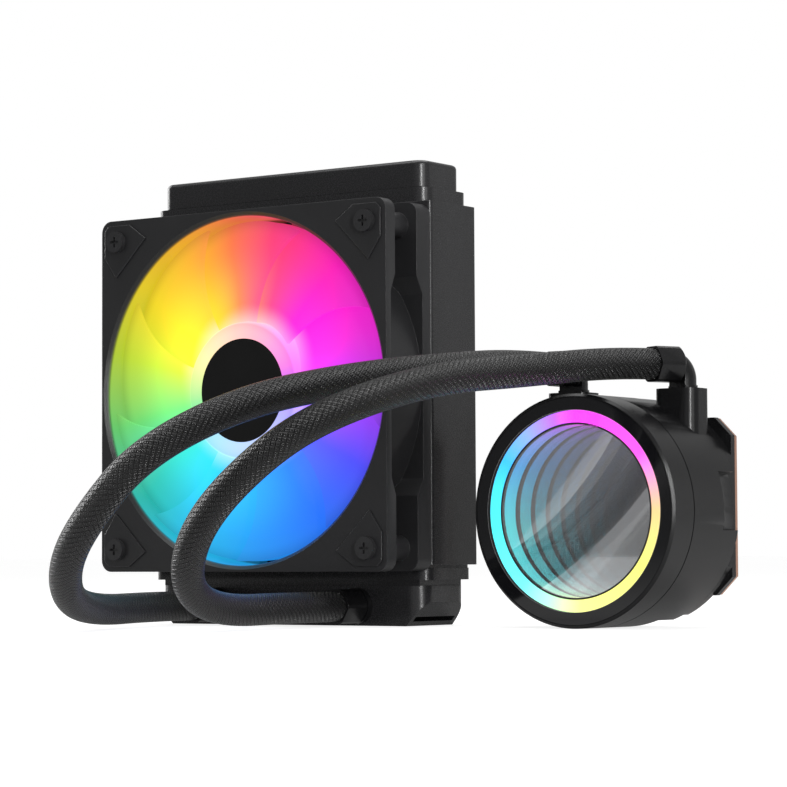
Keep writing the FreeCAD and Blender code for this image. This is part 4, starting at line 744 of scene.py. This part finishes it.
def turned_cup(work):
    """The cup that holds the motor, as a profile turned round the axis."""
    inner = HUB_EDGE - CUP_WALL
    seat = CUP_FRONT + CAP_DEPTH
    profile = [(0, seat), (CAP_RADIUS, seat), (CAP_RADIUS, CUP_FRONT)]
    for step in range(CUP_EDGE_STEPS + 1):
        angle = step / CUP_EDGE_STEPS * math.pi / 2
        out = HUB_EDGE - CUP_EDGE + math.sin(angle) * CUP_EDGE
        profile.append((out, CUP_FRONT + CUP_EDGE - math.cos(angle) * CUP_EDGE))
    profile += [(HUB_EDGE, CUP_BACK), (inner, CUP_BACK)]
    profile += [(inner, CUP_FRONT + CUP_WALL), (0, CUP_FRONT + CUP_WALL)]
    points = [work.verts.new(Vector((out, depth, 0)) * MM) for out, depth in profile]
    edges = [work.edges.new(pair) for pair in zip(points, points[1:])]
    line = points + edges
    bmesh.ops.spin(work, geom=line, cent=(0, 0, 0), axis=(0, 1, 0), angle=TURN, steps=CUP_SIDES)


def rotor():
    """Blades and cup in one piece, moving with the fan's rotor."""
    holder = placed("blade_holder", blade_sheet())
    wall = holder.modifiers.new("wall", "SOLIDIFY")
    wall.thickness = BLADE_WALL * MM
    wall.offset = 0
    mesh = ring_tree().bake(holder, Count=BLADE_COUNT, Material=rotor_plastic)
    work = bmesh.new()
    work.from_mesh(mesh)
    turned_cup(work)
    bmesh.ops.remove_doubles(work, verts=work.verts, dist=CUP_WELD)
    bmesh.ops.translate(work, verts=work.verts, vec=FAN_FRONT)
    bmesh.ops.recalc_face_normals(work, faces=work.faces)
    work.to_mesh(mesh)
    work.free()
    shade(mesh, rotor_plastic)
    stand_in(placed("fan_rotor_lit", mesh), "fan_rotor")
    print(BLADE_COUNT, "blades,", len(mesh.polygons), "faces, tip at", round(TIP, 2), "mm")
    print("cup from", round(CUP_FRONT, 2), "to", round(CUP_BACK, 2), "mm")


rotor()

# %% [markdown]
# ## Hoses
#
# Each hose is a rubber tube in a sleeve of braided yarn. It leaves the lower tank straight, bends
# up in a wide loop and ends in the collar of an elbow on the pump. The route is a smooth curve
# through a few given points. A round tube is drawn along it point by point, and the two
# numbers that the weave needs, the way along and the way round, are kept on the mesh.

# %% Routes
HOSE_WIDTH = 10.0
HOSE_RADIUS = HOSE_WIDTH / 2 * MM
ROUTE_STEPS = 24
ARM_END = 11.4
TANK_FRONT = (30.0, -26.8, 6.5)
STEM_PLACE = {"right": (137.6, 14.5), "left": (97.2, 14.5)}
ARM_TURN = {"right": math.radians(65), "left": math.radians(90)}
ARM_HEIGHT = 83.2
ROUTES = {
    "right": [
        (31, -90, 6), (40, -116, 15), (58, -130, 34), (81, -125, 55), (97, -110, 67), (109, -79, 76),
        (115, -46, 79),
    ],
    "left": [
        (-18, -89, 6), (2, -125, 10), (17, -143, 21), (32, -150, 34), (51, -148, 53), (73, -129, 68),
        (91, -98, 75.5), (101, -60, 80),
    ],
}
FIRST_RUN = {"right": 21.8, "left": 21.9}
LAST_RUN = {"right": 16.8, "left": 23.6}


def route_points(side):
    """The control points of one hose, in metres, from the tank's collar to the elbow's."""
    sign = 1 if side == "right" else -1
    start = Vector((TANK_FRONT[0] * sign, TANK_FRONT[1], TANK_FRONT[2]))
    way = Vector((-math.cos(ARM_TURN[side]), -math.sin(ARM_TURN[side]), 0))
    end = Vector((*STEM_PLACE[side], ARM_HEIGHT)) + way * ARM_END
    points = [start, start + Vector((0, -FIRST_RUN[side], 0))]
    points += [Vector(point) for point in ROUTES[side]]
    points += [end + way * LAST_RUN[side], end]
    return [point * MM for point in points]


def route_curve(side):
    """An object with the smooth curve that the control points give."""
    points = route_points(side)
    curve = bpy.data.curves.new(f"route_{side}", "CURVE")
    curve.dimensions = "3D"
    curve.resolution_u = ROUTE_STEPS
    spline = curve.splines.new("NURBS")
    spline.points.add(len(points) - 1)
    for point, place in zip(spline.points, points):
        point.co = (*place, 1)
    spline.order_u = 3
    spline.use_endpoint_u = True
    return placed(f"route_{side}", curve)


print({side: len(route_points(side)) for side in ROUTES}, "points on each route")

# %% Sleeve material
YARN_PITCH = 1.05
YARNS_ROUND = 32


def braided():
    """Two sets of yarns wound opposite ways, each going over and under the other."""
    finish = Finish("braided_sleeve", **{"Specular IOR Level": 0.7})
    along = finish.node("ShaderNodeAttribute", {"attribute_name": "along"}, output=2) / YARN_PITCH
    around = finish.node("ShaderNodeAttribute", {"attribute_name": "around"}, output=2) * YARNS_ROUND
    ridge_a = ((along + around) * math.pi).sine().size()
    ridge_b = ((along - around) * math.pi).sine().size()
    over = finish.step((along * math.pi).sine() * (around * math.pi).sine(), -0.2, 0.2)
    height = over * ridge_a + (1 - over) * ridge_b * 0.7
    fuzz = finish.noise(finish.coordinates(), 2.2, 2.0)
    # Painted shade: the base colour is darker in the grooves between the yarns and lighter on their tops.
    finish.feed("Base Color", finish.blend(height, (0.001, 0.001, 0.001), (0.008, 0.008, 0.0085)))
    finish.feed("Roughness", 0.46 - height * 0.22 + fuzz * 0.06)
    finish.bump(height + fuzz * 0.08, 0.0007)
    return finish.material


sleeve = braided()
print(YARNS_ROUND, "yarns each way round the sleeve")


# %% A node tree that draws the sleeve along a route
SLEEVE_SIDES = 48
SLEEVE_WELD = 0.01 * MM


def sleeve_tree():
    """A round tube along a curve, with the way along in millimetres and the share of a turn round it."""
    sizes = {"Radius": ("Float", HOSE_RADIUS), "Sides": ("Int", SLEEVE_SIDES)}
    tree = Tree("sleeve", **sizes, Material=("Material", None))
    given = tree.start.outputs
    way = tree.node("GeometryNodeSplineParameter")
    in_mm = tree.maths("DIVIDE", way.outputs["Length"], MM)
    rail = tree.node("GeometryNodeStoreNamedAttribute", {"data_type": "FLOAT", "domain": "POINT"},
                     Geometry=given["Geometry"], Name="along", Value=in_mm)
    loop = tree.node("GeometryNodeCurveArc", Radius=given["Radius"], Sweep_Angle=TURN,
                     Resolution=tree.maths("ADD", given["Sides"], 1))
    share = tree.node("GeometryNodeSplineParameter")
    rim = tree.node("GeometryNodeStoreNamedAttribute", {"data_type": "FLOAT", "domain": "POINT"},
                    Geometry=loop.outputs[0], Name="around", Value=share.outputs["Factor"])
    tube = tree.node("GeometryNodeCurveToMesh", Curve=rail.outputs[0], Profile_Curve=rim.outputs[0])
    turn = tree.node("GeometryNodeInputNamedAttribute", {"data_type": "FLOAT"}, Name="around")
    corners = tree.node("GeometryNodeStoreNamedAttribute", {"data_type": "FLOAT", "domain": "CORNER"},
                        Geometry=tube.outputs[0], Name="around", Value=turn.outputs["Attribute"])
    closed = tree.node("GeometryNodeMergeByDistance", Geometry=corners.outputs[0], Distance=SLEEVE_WELD)
    tree.finish(closed.outputs[0])
    return tree


sleeve_shape = sleeve_tree()
print(len(sleeve_shape.group.nodes), "nodes draw a sleeve")


def hose(side):
    """A sleeve along the route, standing in place of the hidden hose."""
    holder = route_curve(side)
    line = [vertex.co.copy() for vertex in baked(holder).vertices]
    mesh = sleeve_shape.bake(holder, Radius=HOSE_RADIUS, Material=sleeve)
    mesh.polygons.foreach_set("use_smooth", [True] * len(mesh.polygons))
    piece = placed(f"hose_{side}_sleeve", mesh)
    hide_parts(f"hose_{side}")
    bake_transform(piece)


for side in ("left", "right"):
    hose(side)

# %% [markdown]
# ## Studio
#
# The product stands on white, and the camera is so low that the floor reaches from under the
# object to the horizon. Floor and world are white to the eye. What the object sees is a calm room:
# soft boxes above and beside it draw the bright edges, and the rest is dim, so black stays black.

# %% Floor, world and lamps
BACKDROP_WAY = (-0.58, 0.81, 0.0)
DARK_WAY = (-0.58, -0.81, 0.0)
ROOM_LIGHT = 0.34
DARK_LIGHT = 0.16
WALL_GLOSS = 0.25
FLOOR_GLOSS = 0.12
FLOOR_REACH = 30.0
FLOOR_DIM, FLOOR_WHITE = 0.1, 0.82


def grey(level):
    """A colour without hue."""
    return (level, level, level)


def seen_by_eye(finish):
    """1 for rays from the camera or through glass, and 1 for rays from a shiny surface."""
    rays = finish.node("ShaderNodeLightPath")
    return rays.most(rays.output("Is Transmission Ray")), rays.output("Is Glossy Ray")


def white_floor():
    """A plain pale sheet that stays white and keeps a soft shadow."""
    mesh = bpy.data.meshes.new("floor")
    ways = ((-1, -1), (1, -1), (1, 1), (-1, 1))
    mesh.from_pydata([(FLOOR_REACH * x, FLOOR_REACH * y, 0) for x, y in ways], [], [(0, 1, 2, 3)])
    floor = placed("floor", mesh)
    finish = Finish("floor_white", Roughness=0.6, **{"Specular IOR Level": 0.2, "Emission Strength": 1.0})
    speckle = finish.noise(finish.coordinates(), 0.02, 1.0)
    finish.feed("Base Color", finish.blend(speckle, grey(0.35), grey(0.37)))
    seen, shine = seen_by_eye(finish)
    glow = finish.blend(seen.most(shine * FLOOR_GLOSS), grey(FLOOR_DIM), grey(FLOOR_WHITE))
    finish.feed("Emission Color", glow)
    mesh.materials.append(finish.material)


class Room(Finish):
    """The world's background, with the same helpers as a material."""

    def __init__(self, name):
        self.world = bpy.data.worlds.new(name)
        self.world.use_nodes = True
        self.tree = self.world.node_tree
        self.surface = self.tree.nodes["Background"]


def make_world():
    """White to the eye, a white wall behind the object for its gloss, dark before the pump's glass."""
    room = Room("room")
    scene.world = room.world
    seen, shine = seen_by_eye(room)
    way = room.node("ShaderNodeTexCoord")
    wall = room.step(room.vector("DOT_PRODUCT", way, BACKDROP_WAY, output=1), 0.35, 0.95)
    dark = room.step(room.vector("DOT_PRODUCT", way, DARK_WAY, output=1), 0.55, 0.92) * shine
    calm = room.blend(dark, grey(ROOM_LIGHT), grey(DARK_LIGHT))
    bright = seen.most(shine * wall * WALL_GLOSS)
    room.feed("Color", room.blend(bright, calm, grey(1.0)))


def soft_box(name, place, aim, size, power, tilt=0.0):
    """A rectangular lamp that faces a point. Places are in metres."""
    lamp = bpy.data.lights.new(name, "AREA")
    lamp.shape = "RECTANGLE"
    lamp.size, lamp.size_y = size
    lamp.energy = power
    holder = placed(name, lamp)
    holder.location = place
    holder.rotation_mode = "QUATERNION"
    facing = (Vector(aim) - Vector(place)).to_track_quat("-Z", "Y")
    holder.rotation_quaternion = facing @ Matrix.Rotation(math.radians(tilt), 4, "Z").to_quaternion()


# %% Light the studio
MIDDLE = (0.05, -0.03, 0.07)
LAMPS = [
    ("top_box", (-0.1, 0.05, 1.1), (1.6, 0.7), 9),
    ("left_box", (-1.2, 0.1, 0.5), (0.4, 0.9), 7),
    ("right_box", (1.1, -0.25, 0.55), (0.3, 0.9), 2),
    ("edge_strip", (0.97, -0.62, 0.12), (0.05, 1.0), 11),
    ("side_strip", (0.75, 0.95, 0.12), (0.05, 0.7), 0.12),
]
PANE_MIDDLE = (0.1174, -0.0178, 0.0367)
STRIP_TILT = -38
PANE_STRIPS = [
    ("pane_strip_0", (-0.36, -0.784, 0.05), (0.032, 0.22), 0.004),
    ("pane_strip_1", (-0.33, -0.784, 0.035), (0.012, 0.22), 0.0012),
]
white_floor()
make_world()
for name, place, size, power in LAMPS:
    soft_box(name, place, MIDDLE, size, power)
for name, place, size, power in PANE_STRIPS:
    soft_box(name, place, PANE_MIDDLE, size, power, STRIP_TILT)
print(len(LAMPS) + len(PANE_STRIPS), "lamps and a white floor")
